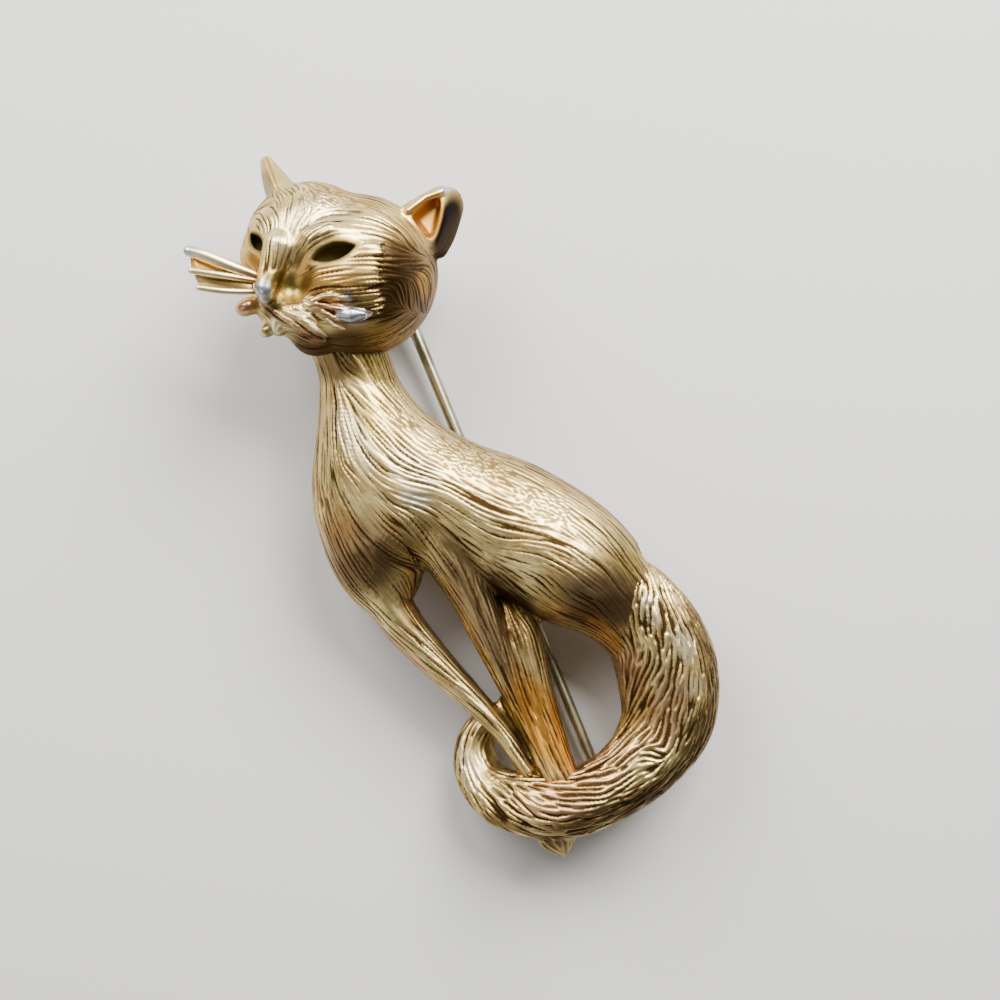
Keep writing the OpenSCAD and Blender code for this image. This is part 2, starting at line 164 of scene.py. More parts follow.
def limb(rows):
    """The form of a limb: an oval section round its middle line, deeper or flatter below."""
    reach = rows[:, 3].max()
    low, high = padded_box(
        [rows[:, 0].min() - reach, rows[:, 1].min() - reach, (rows[:, 2] - rows[:, 5]).min()],
        [rows[:, 0].max() + reach, rows[:, 1].max() + reach, (rows[:, 2] + rows[:, 4]).max()])

    def away(x, y, z):
        section, _, off = nearest_rows(rows, x[:, :, 0], y[:, :, 0])
        _, _, mid, wide, up, down = (s[:, :, None] for s in section)
        side = np.abs(off)[:, :, None]
        lift = z - mid
        share = np.sqrt(side ** 2 + (lift / np.where(lift > 0, up, down)) ** 2) + 1e-4
        return np.hypot(side * wide, lift) * (1 - 1 / share)
    return low, high, away


def oval(at, radii, turn=0.0):
    """The form of a lobe: an ellipsoid, turned about the way out of the front."""
    reach = max(radii)
    low, high = padded_box([v - reach for v in at], [v + reach for v in at])
    c, s = math.cos(math.radians(turn)), math.sin(math.radians(turn))

    def away(x, y, z):
        dx, dy, dz = x - at[0], y - at[1], z - at[2]
        u, v = c * dx + s * dy, c * dy - s * dx
        share = np.sqrt((u / radii[0]) ** 2 + (v / radii[1]) ** 2 + (dz / radii[2]) ** 2) + 1e-4
        return np.sqrt(u * u + v * v + dz * dz) * (1 - 1 / share)
    return low, high, away


def placed(row):
    """A place in mm, given as shares of the figure."""
    return np.array([row[0] * FIGURE_W, row[1] * FIGURE_H, row[2] * FIGURE_D])


def sampled(block, at, wrap=False):
    """A block's values between its corners, at places given in cells."""
    size = block.shape[:3]
    flat = block.reshape((-1,) + block.shape[3:])
    ends = []
    for k, stride in enumerate((size[1] * size[2], size[2], 1)):
        base = np.floor(at[:, k]).astype(np.int64)
        part = (at[:, k] - base).astype(np.float32)
        both = [base % size[k], (base + 1) % size[k]] if wrap else \
            [np.clip(base, 0, size[k] - 1), np.clip(base + 1, 0, size[k] - 1)]
        ends.append([(both[0] * stride, 1 - part), (both[1] * stride, part)])
    total = 0
    for i, wi in ends[0]:
        for j, wj in ends[1]:
            ij, wij = i + j, wi * wj
            for k, wk in ends[2]:
                share = wij * wk
                total = total + (share if flat.ndim == 1 else share[:, None]) * flat[ij + k]
    return total


def outwards(wax, points):
    """The way straight out of the metal at places on its skin."""
    if wax.slope is None:
        wax.slope = np.stack(np.gradient(wax.skin[::2, ::2, ::2]), axis=-1)
    slope = sampled(wax.slope, (points - wax.low) / (2 * wax.cell))
    return slope / (np.linalg.norm(slope, axis=1, keepdims=True) + 1e-9)


def skin_mesh(wax):
    """The metal's skin as corners and four-sided faces, one corner for each cell it passes. Where it
    would reach below the table it is flat."""
    s = wax.skin
    inside = s < 0
    full = np.array(s.shape) - 1
    kinds = sum(inside[tuple(slice(c, c + n) for c, n in zip(corner, full))].astype(np.int8)
                for corner in np.ndindex(2, 2, 2))
    cells = np.argwhere((kinds > 0) & (kinds < 8))
    number = np.full(full, -1, np.int32)
    number[tuple(cells.T)] = np.arange(len(cells))
    total, count = np.zeros((len(cells), 3)), np.zeros(len(cells))
    for axis in range(3):
        for corner in np.ndindex(2, 2, 2):
            if corner[axis]:
                continue
            a = cells + corner
            b = a + np.eye(3, dtype=int)[axis]
            va, vb = s[tuple(a.T)], s[tuple(b.T)]
            crossed = (va < 0) != (vb < 0)
            share = np.where(crossed, va / np.where(crossed, va - vb, 1), 0)
            total += crossed[:, None] * (a + share[:, None] * np.eye(3)[axis])
            count += crossed
    points = wax.low + wax.cell * total / count[:, None]
    points[:, 2] = np.maximum(points[:, 2], 0)
    faces = []
    for axis in range(3):
        u, v = (axis + 1) % 3, (axis + 2) % 3
        ahead = np.roll(inside, -1, axis)
        edges = np.argwhere(inside != ahead)
        keep = (edges[:, axis] < s.shape[axis] - 1) & (edges[:, u] > 0) & (edges[:, v] > 0) \
            & (edges[:, u] < full[u]) & (edges[:, v] < full[v])
        edges = edges[keep]
        eu, ev = np.eye(3, dtype=int)[u], np.eye(3, dtype=int)[v]
        quad = np.stack([number[tuple((edges - eu - ev).T)], number[tuple((edges - ev).T)],
                         number[tuple(edges.T)], number[tuple((edges - eu).T)]], axis=1)
        out = inside[tuple(edges.T)]
        faces.append(np.where(out[:, None], quad, quad[:, ::-1]))
    return points, np.concatenate(faces)


def strand_noise(spacing, seed, size=80, spread=0.22):
    """A block of even ripples that run every way, the given number of cells apart."""
    way = np.fft.fftfreq(size)
    length = np.sqrt(sum(w ** 2 for w in np.meshgrid(way, way, way, indexing="ij")))
    wanted = np.exp(-(((length * spacing) - 1) / spread) ** 2)
    noise = np.random.default_rng(seed).standard_normal((size,) * 3)
    block = np.fft.ifftn(np.fft.fftn(noise) * wanted).real
    return (block / block.std()).astype(np.float32)


def combed(wax, points, way_at, spacing, reach, seed, steps=12):
    """The engraver's strands: ripples combed out along the way that the fur lies."""
    cells_apart = 4.0
    ripples = strand_noise(cells_apart, seed)
    scale = cells_apart / spacing
    stride = np.broadcast_to(np.asarray(reach, float).reshape(-1, 1) / steps, (len(points), 1))
    total = sampled(ripples, points * scale, wrap=True)
    weight = 1.0
    for sense in (1, -1):
        at, before = points.copy(), None
        for i in range(steps):
            out = outwards(wax, at)
            way = way_at(at)
            way = way - out * np.sum(way * out, axis=1, keepdims=True)
            way /= np.linalg.norm(way, axis=1, keepdims=True) + 1e-6
            if before is not None:
                way = np.where(np.sum(way * before, axis=1, keepdims=True) < 0, -way, way)
            before = way
            at = at + sense * way * stride
            at = at - out * sampled(wax.skin, (at - wax.low) / wax.cell)[:, None]
            share = 1 - (i + 1) / (steps + 1)
            total = total + share * sampled(ripples, at * scale, wrap=True)
            weight += share ** 2
    return total / math.sqrt(weight)


def eased(low, high, value):
    """0 below low, 1 above high, and a soft step between. Low may be the higher one."""
    t = np.clip((value - low) / (high - low), 0, 1)
    return t * t * (3 - 2 * t)


def turned_back(out, start=-0.05):
    """1 where a skin looks backwards, 0 where it looks to the front."""
    return eased(start, start - 0.3, out[:, 2])


def patches(points, table):
    """How strongly each place lies in soft oval patches: across, along, radii, turn, strength."""
    total = np.zeros(len(points))
    clear, full = 1.25, 0.55
    for x, y, rx, ry, turn, strength in table:
        c, s = math.cos(math.radians(turn)), math.sin(math.radians(turn))
        dx, dy = points[:, 0] - x, points[:, 1] - y
        share = np.hypot((c * dx + s * dy) / rx, (c * dy - s * dx) / ry)
        total = np.maximum(total, strength * eased(clear, full, share))
    return total


def stains_and_painted_light(points, table, more=(), front=1.0):
    """Colour laid over a piece's front in soft oval patches, stains and painted light and shade alike, and
    how much of the plate it covers.
    """
    tint = np.zeros((len(points), 4))
    layers = [(patches(points, [(*row[:5], row[6])]) * front, row[5]) for row in table]
    for cover, colour in layers + [(mark * strength, colour) for mark, colour, strength in more]:
        tint = tint * (1 - cover[:, None]) + cover[:, None] * np.array(colour)
    return tint


def give_mark(mesh, mark, value):
    """Values on a mesh's corners: plain ones, or colours with their cover."""
    if value.ndim == 1:
        mesh.attributes.new(mark, "FLOAT", "POINT").data.foreach_set("value", value)
    else:
        mesh.attributes.new(mark, "FLOAT_COLOR", "POINT").data.foreach_set("color", value.ravel())


def piece(name, points, faces, marks, material):
    """A finished piece in the frame, with its marks as values on its corners."""
    mesh = bpy.data.meshes.new(name)
    mesh.from_pydata((points * MM).tolist(), [], faces.tolist())
    for mark, value in marks.items():
        give_mark(mesh, mark, value)
    mesh.materials.append(material)
    mesh.polygons.foreach_set("use_smooth", [True] * len(mesh.polygons))
    mesh.update()
    made = bpy.data.objects.new(name, mesh)
    bpy.context.scene.collection.objects.link(made)
    return made


def lightened(made, keep_mark, share, low=0.05):
    """Fewer faces where a mark is low, as on the plain back, of which a share is kept."""
    group = made.vertex_groups.new(name="plain")
    values = np.zeros(len(made.data.vertices), np.float32)
    made.data.attributes[keep_mark].data.foreach_get("value", values)
    plain = np.flatnonzero(values < low)
    group.add(plain.tolist(), 1.0, "REPLACE")
    thin = made.modifiers.new("lighter", "DECIMATE")
    thin.ratio = 1 - (1 - share) * len(plain) / len(values)
    thin.vertex_group = group.name
    finished = bpy.data.meshes.new_from_object(
        made.evaluated_get(bpy.context.evaluated_depsgraph_get()))
    made.modifiers.clear()
    made.vertex_groups.clear()
    made.data = finished
    return made


def linear(hex_colour):
    """An sRGB hex value as the linear colour that a node takes."""
    parts = [int(hex_colour[i:i + 2], 16) / 255 for i in (1, 3, 5)]
    return [p / 12.92 if p <= 0.04045 else ((p + 0.055) / 1.055) ** 2.4 for p in parts] + [1.0]


def add_node(tree, kind, inputs=(), **settings):
    """A node with its settings, and its inputs as values or as links from other nodes' sockets."""
    made = tree.nodes.new(kind)
    for name, value in settings.items():
        setattr(made, name, value)
    for socket, value in dict(inputs).items():
        if isinstance(value, bpy.types.NodeSocket):
            tree.links.new(value, made.inputs[socket])
        else:
            made.inputs[socket].default_value = value
    return made


def new_material(name):
    made = bpy.data.materials.new(name)
    made.use_nodes = True
    made.node_tree.nodes.clear()
    return made, made.node_tree


def colour_mix(tree, share, a, b):
    made = add_node(tree, "ShaderNodeMix", {0: share, 6: a, 7: b}, data_type="RGBA")
    return made.outputs[2]


def value_map(tree, value, low, high, to_low=0.0, to_high=1.0):
    made = add_node(tree, "ShaderNodeMapRange",
                    {0: value, 1: low, 2: high, 3: to_low, 4: to_high})
    return made.outputs[0]


# Olive tarnish, also laid as painted shade in the face's hollows; amber, copper and rose tones of the
# plate; umber, taupe and near-black laid as painted shade on sides, in creases and under parts; a pale tone
# for painted highlights; the white metal under the plate; a brown for painted shade on steep sides; plain
# cast metal inside the hollow
OLIVE, AMBER, COPPERY, ROSE = (linear(h) for h in ("#7D6E34", "#D9A04C", "#D8963C", "#BE8E6C"))
UMBER_SHADE, TAUPE_SHADE, BLACK_SHADE = (linear(h) for h in ("#5C4524", "#8B6E52", "#1C1815"))
PAINTED_HIGHLIGHT, WORN, SHADED, INNER = (linear(h) for h in ("#FBEBBE", "#BFC5CB", "#7A5A36", "#C9A25A"))


def engraved_gold(name, pale, mid, brown, groove_colour):
    """Gold plate over cast and engraved alloy, antiqued: bright on the strands, brown in the cuts,
    with rubbed silver-white spots where the plate is worn through. It is soft, not mirror bright,
    and matt inside the casting."""
    material, tree = new_material(name)
    place = add_node(tree, "ShaderNodeTexCoord").outputs["Object"]
    groove, matt = (add_node(tree, "ShaderNodeAttribute", attribute_name=mark).outputs["Fac"]
                    for mark in ("groove", "matt"))
    # tint carries the patches laid on each piece: tarnish and wear colours, painted shade and painted
    # highlights
    tint = add_node(tree, "ShaderNodeAttribute", attribute_name="tint")
    # plate varies over a few millimetres, and tarnish in cloudy patches of about one
    cloud = add_node(tree, "ShaderNodeTexNoise", {"Vector": place, "Scale": 260.0, "Detail": 4.0})
    patch = add_node(tree, "ShaderNodeTexNoise", {"Vector": place, "Scale": 900.0, "Detail": 3.0})
    grain = add_node(tree, "ShaderNodeTexNoise", {"Vector": place, "Scale": 9000.0, "Detail": 2.0})
    tone = value_map(tree, cloud.outputs["Fac"], 0.35, 0.65)
    colour = colour_mix(tree, tone, linear(pale), linear(mid))
    spot = value_map(tree, patch.outputs["Fac"], 0.56, 0.72, 0.0, 0.35)
    colour = colour_mix(tree, spot, colour, linear(brown))
    colour = colour_mix(tree, tint.outputs["Alpha"], colour, (0.0, 0.0, 0.0, 1.0))
    colour = add_node(tree, "ShaderNodeMix", {0: 1.0, 6: colour, 7: tint.outputs["Color"]},
                      data_type="RGBA", blend_type="ADD").outputs[2]
    colour = colour_mix(tree, groove, colour, linear(groove_colour))
    rough = add_node(tree, "ShaderNodeMath", {0: groove, 1: 0.25, 2: 0.27},
                     operation="MULTIPLY_ADD").outputs[0]
    rough = add_node(tree, "ShaderNodeMath", {0: patch.outputs["Fac"], 1: 0.16, 2: rough},
                     operation="MULTIPLY_ADD").outputs[0]
    rough = add_node(tree, "ShaderNodeMath", {0: matt, 1: 0.45, 2: rough},
                     operation="MULTIPLY_ADD").outputs[0]
    bump = add_node(tree, "ShaderNodeBump", {"Strength": 0.25, "Distance": 0.00003,
                                             "Height": grain.outputs["Fac"]})
    shader = add_node(tree, "ShaderNodeBsdfPrincipled",
                      {"Base Color": colour, "Metallic": 1.0, "Roughness": rough,
                       "Normal": bump.outputs[0]})
    add_node(tree, "ShaderNodeOutputMaterial", {"Surface": shader.outputs[0]})
    return material


HOLLOW_END = 0.6
# A limb's sections: its place across, along and up as shares of the figure, its width and its swell
# as shares of the limb's size, and how far its underside comes down from the back to the table
TORSO = [
    (-0.186, 0.280, 0.48, 0.50, 0.50, 0),
    (-0.190, 0.205, 0.42, 0.53, 0.58, 0),
    (-0.203, 0.170, 0.39, 0.58, 0.66, 0),
    (-0.203, 0.120, 0.37, 0.70, 0.80, 0),
    (-0.172, 0.060, 0.36, 0.86, 0.92, 0),
    (-0.070, 0.000, 0.35, 0.89, 0.98, 0),
    (0.065, -0.065, 0.35, 0.98, 1.00, 0),
    (0.185, -0.130, 0.35, 0.92, 0.97, 0),
    (0.255, -0.180, 0.34, 0.78, 0.86, 0),
    (0.290, -0.220, 0.33, 0.64, 0.72, 0),
    (0.300, -0.260, 0.32, 0.50, 0.56, 0)]
SHOULDER = [
    (-0.225, 0.180, 0.38, 0.50, 0.62, 0.0),
    (-0.266, 0.125, 0.36, 0.73, 0.80, 0.4),
    (-0.310, 0.060, 0.35, 0.96, 0.95, 0.9),
    (-0.330, 0.000, 0.34, 1.00, 1.00, 1.0),
    (-0.352, -0.045, 0.33, 0.82, 0.87, 0.9),
    (-0.368, -0.090, 0.33, 0.46, 0.66, 0.3),
    (-0.355, -0.130, 0.33, 0.39, 0.55, 0.0),
    (-0.321, -0.175, 0.33, 0.34, 0.48, 0.0),
    (-0.283, -0.218, 0.33, 0.29, 0.42, 0.0),
    (-0.243, -0.260, 0.33, 0.25, 0.37, 0.0),
    (-0.199, -0.313, 0.34, 0.19, 0.31, 0.0),
    (-0.171, -0.372, 0.37, 0.14, 0.25, 0.0)]
CHEST = [
    (-0.203, 0.205, 0.38, 0.48, 0.54, 0),
    (-0.222, 0.135, 0.38, 0.78, 0.84, 0),
    (-0.240, 0.071, 0.38, 1.00, 1.00, 0),
    (-0.235, 0.007, 0.38, 0.98, 1.00, 0),
    (-0.208, -0.028, 0.38, 0.52, 0.82, 0),
    (-0.165, -0.072, 0.37, 0.18, 0.50, 0)]
FORELEG = [
    (-0.155, 0.015, 0.39, 1.00, 0.92, 0),
    (-0.145, -0.050, 0.40, 0.98, 1.00, 0),
    (-0.125, -0.120, 0.39, 0.83, 0.88, 0),
    (-0.117, -0.185, 0.38, 0.72, 0.74, 0),
    (-0.115, -0.248, 0.38, 0.55, 0.60, 0),
    (-0.113, -0.312, 0.38, 0.42, 0.47, 0),
    (-0.111, -0.390, 0.40, 0.34, 0.41, 0)]
HIND_LEG = [
    (0.020, -0.125, 0.33, 0.70, 0.30, 0),
    (-0.008, -0.165, 0.34, 0.92, 0.75, 0),
    (-0.033, -0.217, 0.35, 1.00, 0.95, 0),
    (-0.053, -0.280, 0.35, 0.88, 0.86, 0),
    (-0.071, -0.345, 0.36, 0.84, 0.82, 0),
    (-0.078, -0.405, 0.38, 0.80, 0.73, 0)]
LEG_WEB = [
    (-0.150, -0.286, 0.30, 0.50, 0.26, 0),
    (-0.148, -0.320, 0.30, 0.65, 0.30, 0),
    (-0.148, -0.385, 0.32, 0.70, 0.30, 0)]
TORSO_SIZE, SHOULDER_SIZE, CHEST_SIZE = (11.0, 5.2), (8.5, 4.5), (9.2, 4.8)
FORELEG_SIZE, HIND_LEG_SIZE = (4.5, 3.4), (3.1, 2.2)
THIGH_AT, THIGH_RADII, THIGH_TURN = (0.162, -0.124, 0.35), (4.8, 6.7, 5.7), 35
FILLET = 0.9

body_wax = Wax((-15.5, -26.5, -0.8), (10.5, 20.0, 14.2), CELL)
torso, shoulder = limb_rows(TORSO, *TORSO_SIZE), limb_rows(SHOULDER, *SHOULDER_SIZE)
chest, foreleg = limb_rows(CHEST, *CHEST_SIZE), limb_rows(FORELEG, *FORELEG_SIZE)
hind_leg, leg_web = limb_rows(HIND_LEG, *HIND_LEG_SIZE), limb_rows(LEG_WEB, *FORELEG_SIZE)
for rows in (torso, shoulder, chest):
    body_wax.add(limb(rows), FILLET)
thigh_low, thigh_high, thigh_away = oval(placed(THIGH_AT), THIGH_RADII, THIGH_TURN)
body_wax.add((thigh_low, thigh_high, lambda x, y, z: np.maximum(thigh_away(x, y, z), BACK_Z - z)),
             FILLET)
for rows in (foreleg, hind_leg, leg_web):
    body_wax.add(limb(rows), soft=0.5)
for table, size, first, last in ((TORSO, TORSO_SIZE, 3, 8), (CHEST, CHEST_SIZE, 1, 4),
                                 (SHOULDER, SHOULDER_SIZE, 1, 4)):
    body_wax.cut(limb(limb_rows(table, *size, hollow=(first, last))), soft=0.4)
# The head's hollow takes the neck's end away too, a little wider so that the two skins stay apart
HEAD_HOLLOW_AT, HEAD_HOLLOW_RADII, APART = (-0.131, 0.287, 0.225), (3.19, 2.41, 5.60), 0.15
body_wax.cut(oval(placed(HEAD_HOLLOW_AT), [r + APART for r in HEAD_HOLLOW_RADII]), soft=0.3)

# Where the strands of fur point on the body and legs: across, along, heading in degrees
BODY_COMBING = [
    (-6.9, 12.0, 72), (-5.4, 11.4, 125), (-3.0, 12.0, 95), (-8.0, 9.5, 66), (-8.5, 8.0, 78),
    (-7.2, 8.0, 92), (-4.4, 9.0, 115), (-9.6, 6.8, 68), (-7.9, 6.5, 88), (-6.5, 6.2, 98),
    (-10.4, 5.4, 66), (-9.8, 4.4, 80), (-10.9, 3.0, 78), (-9.4, 3.0, 95), (-8.4, 3.0, 106),
    (-8.4, 4.8, 118), (-7.2, 3.0, 120), (-7.5, 1.0, 108), (-6.4, 5.0, 106), (-5.4, 5.0, 118),
    (-4.6, 6.5, 112), (-4.9, 3.2, 140), (-3.6, 2.2, 145), (-4.8, 1.2, 146), (-3.6, 0.9, 150),
    (-2.4, 1.0, 136), (-2.8, -0.6, 126), (-1.4, -1.5, 125), (-0.4, -2.5, 130), (0.6, -3.4, 142),
    (1.4, -5.0, 160), (1.8, -6.6, 150), (3.0, -6.0, 146), (4.0, -7.5, 130), (3.0, -4.8, 148),
    (4.5, -6.4, 140), (5.3, -8.5, 125), (4.0, -9.5, 112), (3.0, -9.5, 105), (5.0, -10.5, 122),
    (6.5, -9.0, 125), (7.5, -7.0, 120), (8.5, -8.5, 118), (9.6, -9.0, 112), (6.2, -5.5, 118),
    (7.4, -4.8, 130), (8.0, -10.5, 110), (-2.0, 6.5, 120), (0.0, 3.5, 128), (2.6, 1.0, 132),
    (5.0, -1.5, 130), (-4.5, -2.0, 100), (-5.2, -1.0, 106), (-4.9, -3.6, 97), (-3.7, -3.0, 105),
    (-3.2, -2.0, 118), (-2.6, -3.6, 118), (-1.4, -3.3, 122), (-3.3, -5.0, 97), (-3.0, -7.0, 92),
    (-3.5, -9.0, 88), (-2.4, -9.5, 90), (-3.0, -12.0, 87), (-2.6, -14.5, 86), (-4.3, -7.0, 95),
    (-1.3, -8.5, 96), (-11.5, 0.0, 90), (-11.0, -2.0, 94), (-9.5, -2.0, 102), (-8.0, -1.0, 116),
    (-7.0, -2.4, 120), (-10.2, -4.5, 108), (-10.4, -6.0, 112), (-9.6, -7.5, 115), (-9.0, -9.0, 118),
    (-8.3, -10.6, 119), (-7.5, -12.2, 120), (-6.8, -14.0, 122), (-6.1, -16.0, 120), (-5.2, -18.0, 114),
    (-4.7, -20.0, 104), (-4.4, -21.8, 105), (-1.0, -15.0, 80), (-1.2, -17.0, 88), (-1.8, -18.6, 95),
    (-1.7, -20.5, 90), (-2.2, -22.0, 92), (-0.4, -13.5, 78), (-2.7, -19.0, 95), (-2.7, -16.5, 88),
    (6.0, -13.0, 100), (7.0, -14.5, 94), (3.4, -12.0, 122), (8.5, -12.0, 115), (0.9, -9.6, 120)]


def combing_field(table, blur=0.2, power=-1.5):
    """The way of the fur between the places where it is given. Its angle is doubled, as a strand
    points both ways."""
    def field(x, y):
        total = np.zeros((2, x.size, y.size), np.float32)
        for at_x, at_y, heading in table:
            weight = ((x - at_x) ** 2 + (y - at_y) ** 2 + blur) ** power
            total[0] += weight * math.cos(math.radians(2 * heading))
            total[1] += weight * math.sin(math.radians(2 * heading))
        return total / np.linalg.norm(total, axis=0)
    return field


def way_over(wax, field):
    """The way that the fur lies over a piece, read from a field over the table."""
    x, y = (a[::2].astype(np.float32) for a in wax.axes[:2])
    doubled = np.moveaxis(field(x[:, None], y[None, :]), 0, -1)[:, :, None, :]
    doubled = np.repeat(doubled, 2, axis=2)

    def way_at(points):
        at = np.column_stack([(points[:, :2] - wax.low[:2]) / (2 * wax.cell), np.zeros(len(points))])
        c, s = sampled(doubled, at).T
        turn = np.arctan2(s, c) / 2
        return np.column_stack([np.cos(turn), np.sin(turn), np.zeros(len(points))])
    return way_at


def engraved(wax, points, way_at, spacing, reach, depth, seed, bare):
    """Cuts the strands into a skin: its corners moved inwards, the groove and the ripple there."""
    out = outwards(wax, points)
    cut = np.flatnonzero(bare < 1)
    ripple = np.zeros(len(points))
    ripple[cut] = combed(wax, points[cut], way_at, spacing, np.broadcast_to(reach, len(points))[cut], seed)
    sunk = eased(1.1, -1.3, ripple) * (1 - bare)
    groove = eased(-0.14, -0.88, ripple) * (1 - bare)
    return points - out * (sunk * depth)[:, None], groove, out, ripple


body_points, body_faces = skin_mesh(body_wax)
body_out = outwards(body_wax, body_points)
inside = eased(0.5, 0.2, sampled(body_wax.cuts, (body_points - body_wax.low) / CELL))
NECK_IN_HEAD_Y = 15.0
hidden = np.maximum.reduce([inside, turned_back(body_out),
                            eased(NECK_IN_HEAD_Y, NECK_IN_HEAD_Y + 0.5, body_points[:, 1])])
# Places with dots in place of strands: across, along, radii, turn, strength
STIPPLED = [
    (0.8, 2.2, 4.6, 1.9, -42, 1.0), (-2.6, 7.0, 2.0, 1.1, -55, 0.9), (4.6, -3.2, 3.6, 1.8, -48, 1.0),
    (-1.2, -6.5, 1.6, 1.4, 0, 0.7), (-10.5, 3.5, 1.4, 2.2, 10, 0.5)]
stippled = patches(body_points, STIPPLED)
STRAND_REACH, DOT_REACH, DOTS_SHALLOWER = 2.0, 0.22, 0.3
reach = STRAND_REACH - (STRAND_REACH - DOT_REACH) * stippled
body_way = way_over(body_wax, combing_field(BODY_COMBING))
body_points, groove, body_out, _ = engraved(
    body_wax, body_points, body_way, spacing=0.34, reach=reach, depth=0.075, seed=7,
    bare=np.maximum(hidden, DOTS_SHALLOWER * stippled))
# Colour patches on the body, tarnish, rubbed places and painted light: across, along, radii, turn, colour,
# strength
# Painted shade lies under the head, on the shoulder's left side, in the creases by the hind leg, between
# the legs and on the haunch's lower right; painted highlights lie on the chest
BODY_STAINS_AND_PAINTED_LIGHT = [
    (-4.8, 13.2, 4.0, 1.6, 0, UMBER_SHADE, 0.75), (-3.0, 11.6, 1.5, 2.2, 0, OLIVE, 0.7),
    (-5.5, 8.6, 0.9, 1.6, 0, OLIVE, 0.7), (-10.2, -1.0, 3.0, 3.6, 0, TAUPE_SHADE, 0.85),
    (-10.2, -2.6, 2.6, 2.0, 0, UMBER_SHADE, 0.6), (-10.6, 2.0, 1.6, 2.6, 0, AMBER, 0.35),
    (-7.2, -2.0, 1.6, 1.6, 0, UMBER_SHADE, 0.5), (-10.3, -10.0, 0.9, 6.0, 25, ROSE, 0.6),
    (-3.0, -9.0, 1.9, 6.5, 4, TAUPE_SHADE, 0.75), (-3.4, -15.0, 1.4, 3.5, 0, UMBER_SHADE, 0.5),
    (-0.6, -7.8, 1.5, 1.6, 0, UMBER_SHADE, 0.7), (-0.4, -9.8, 1.5, 1.5, 0, UMBER_SHADE, 0.85),
    (6.2, -11.6, 3.6, 2.4, -20, TAUPE_SHADE, 0.8), (6.0, -12.8, 4.0, 1.6, -10, UMBER_SHADE, 0.6),
    (9.2, -9.6, 1.6, 2.4, 0, OLIVE, 0.5), (5.2, -14.8, 1.2, 2.2, 10, AMBER, 0.5),
    (-2.0, -19.2, 1.9, 5.0, 4, COPPERY, 0.95), (-0.7, -11.4, 1.6, 2.4, 10, UMBER_SHADE, 0.75),
    (-3.9, -19.0, 0.55, 3.2, 0, OLIVE, 0.85), (-7.0, 7.2, 1.3, 3.4, 8, PAINTED_HIGHLIGHT, 0.5),
    (-3.6, 3.2, 2.4, 1.5, -45, PAINTED_HIGHLIGHT, 0.5), (-4.3, 1.0, 1.4, 0.8, -40, WORN, 0.35),
    (-3.4, -4.0, 1.6, 2.4, 10, UMBER_SHADE, 0.35), (7.6, -2.8, 1.0, 5.5, 38, ROSE, 0.35)]
# Painted shade: the steep sides, which turn away from the front, are laid over with a mid brown
steep = eased(0.6, 0.15, body_out[:, 2])
# The colour patches, stains and painted light alike, end where the skin turns back past this much
PATCHES_END = -0.2
tint = stains_and_painted_light(body_points, BODY_STAINS_AND_PAINTED_LIGHT, [(steep, SHADED, 0.55), (inside, INNER, 0.8)],
               1 - turned_back(body_out, PATCHES_END))
body_gold = engraved_gold("antiqued_gold_plate", "#EFD692", "#D2AE68", "#80592E", "#3E2B14")
# One skin in two pieces, whose seam crosses the ribs and runs down between the legs
RIBS_AT, RIBS_WAY, LEG_SEAM_X = (-1.5, -1.0), (0.8, -0.6), -2.3
middle = body_points[body_faces].mean(axis=1)
in_rear = ((middle[:, :2] - RIBS_AT) @ RIBS_WAY > 0) & (middle[:, 0] > LEG_SEAM_X)
on_seam = np.intersect1d(body_faces[in_rear], body_faces[~in_rear])
fur = 1 - hidden
fur[on_seam] = 1
for name, chosen in (("cat_body_front", ~in_rear), ("cat_body_rear", in_rear)):
    used, faces = np.unique(body_faces[chosen], return_inverse=True)
    marks = {"groove": groove[used], "fur": fur[used], "tint": tint[used], "matt": inside[used]}
    body = piece(name, body_points[used], faces.reshape(-1, 4), marks, body_gold)
    body = lightened(body, "fur", BACK_KEPT)
    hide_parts("figure")
    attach(body, "casting")

# Tail and paw
# The bushy tail, which lies over the end of the haunch, sweeps round under the legs and curls up,
# with the tip of a paw below it. Cast in one with the body, and engraved in slanting tufts.
TAIL = [
    (0.300, -0.170, 0.36, 0.40, 0.55, 0.0),
    (0.315, -0.195, 0.35, 0.66, 0.80, 0.1),
    (0.336, -0.228, 0.32, 0.82, 0.93, 0.5),
    (0.350, -0.277, 0.29, 0.96, 1.00, 1.0),
    (0.340, -0.328, 0.28, 1.00, 1.00, 1.0),
    (0.285, -0.383, 0.29, 0.91, 0.93, 0.7),
    (0.173, -0.417, 0.34, 0.76, 0.81, 0.1),
    (0.050, -0.433, 0.37, 0.67, 0.71, 0.0),
    (-0.078, -0.434, 0.38, 0.66, 0.69, 0.0),
    (-0.193, -0.418, 0.35, 0.64, 0.65, 0.0),
    (-0.278, -0.395, 0.28, 0.57, 0.58, 0.4),
    (-0.320, -0.361, 0.20, 0.48, 0.50, 0.7),
    (-0.308, -0.328, 0.17, 0.42, 0.42, 0.7),
    (-0.268, -0.305, 0.17, 0.33, 0.36, 0.6),
    (-0.212, -0.297, 0.18, 0.30, 0.32, 0.5),
    (-0.150, -0.300, 0.21, 0.24, 0.27, 0.3)]
TAIL_SIZE = (8.2, 4.2)
TAIL_CELL = 0.108
# The paw's corners: across, along, height and thickness, as shares
PAW = [(-0.167, -0.488, 0.33, 0.36), (-0.206, -0.467, 0.35, 0.36), (-0.126, -0.470, 0.35, 0.40),
       (-0.172, -0.446, 0.43, 0.46), (-0.168, -0.472, 0.40, 0.30)]
PAW_W = 4.0


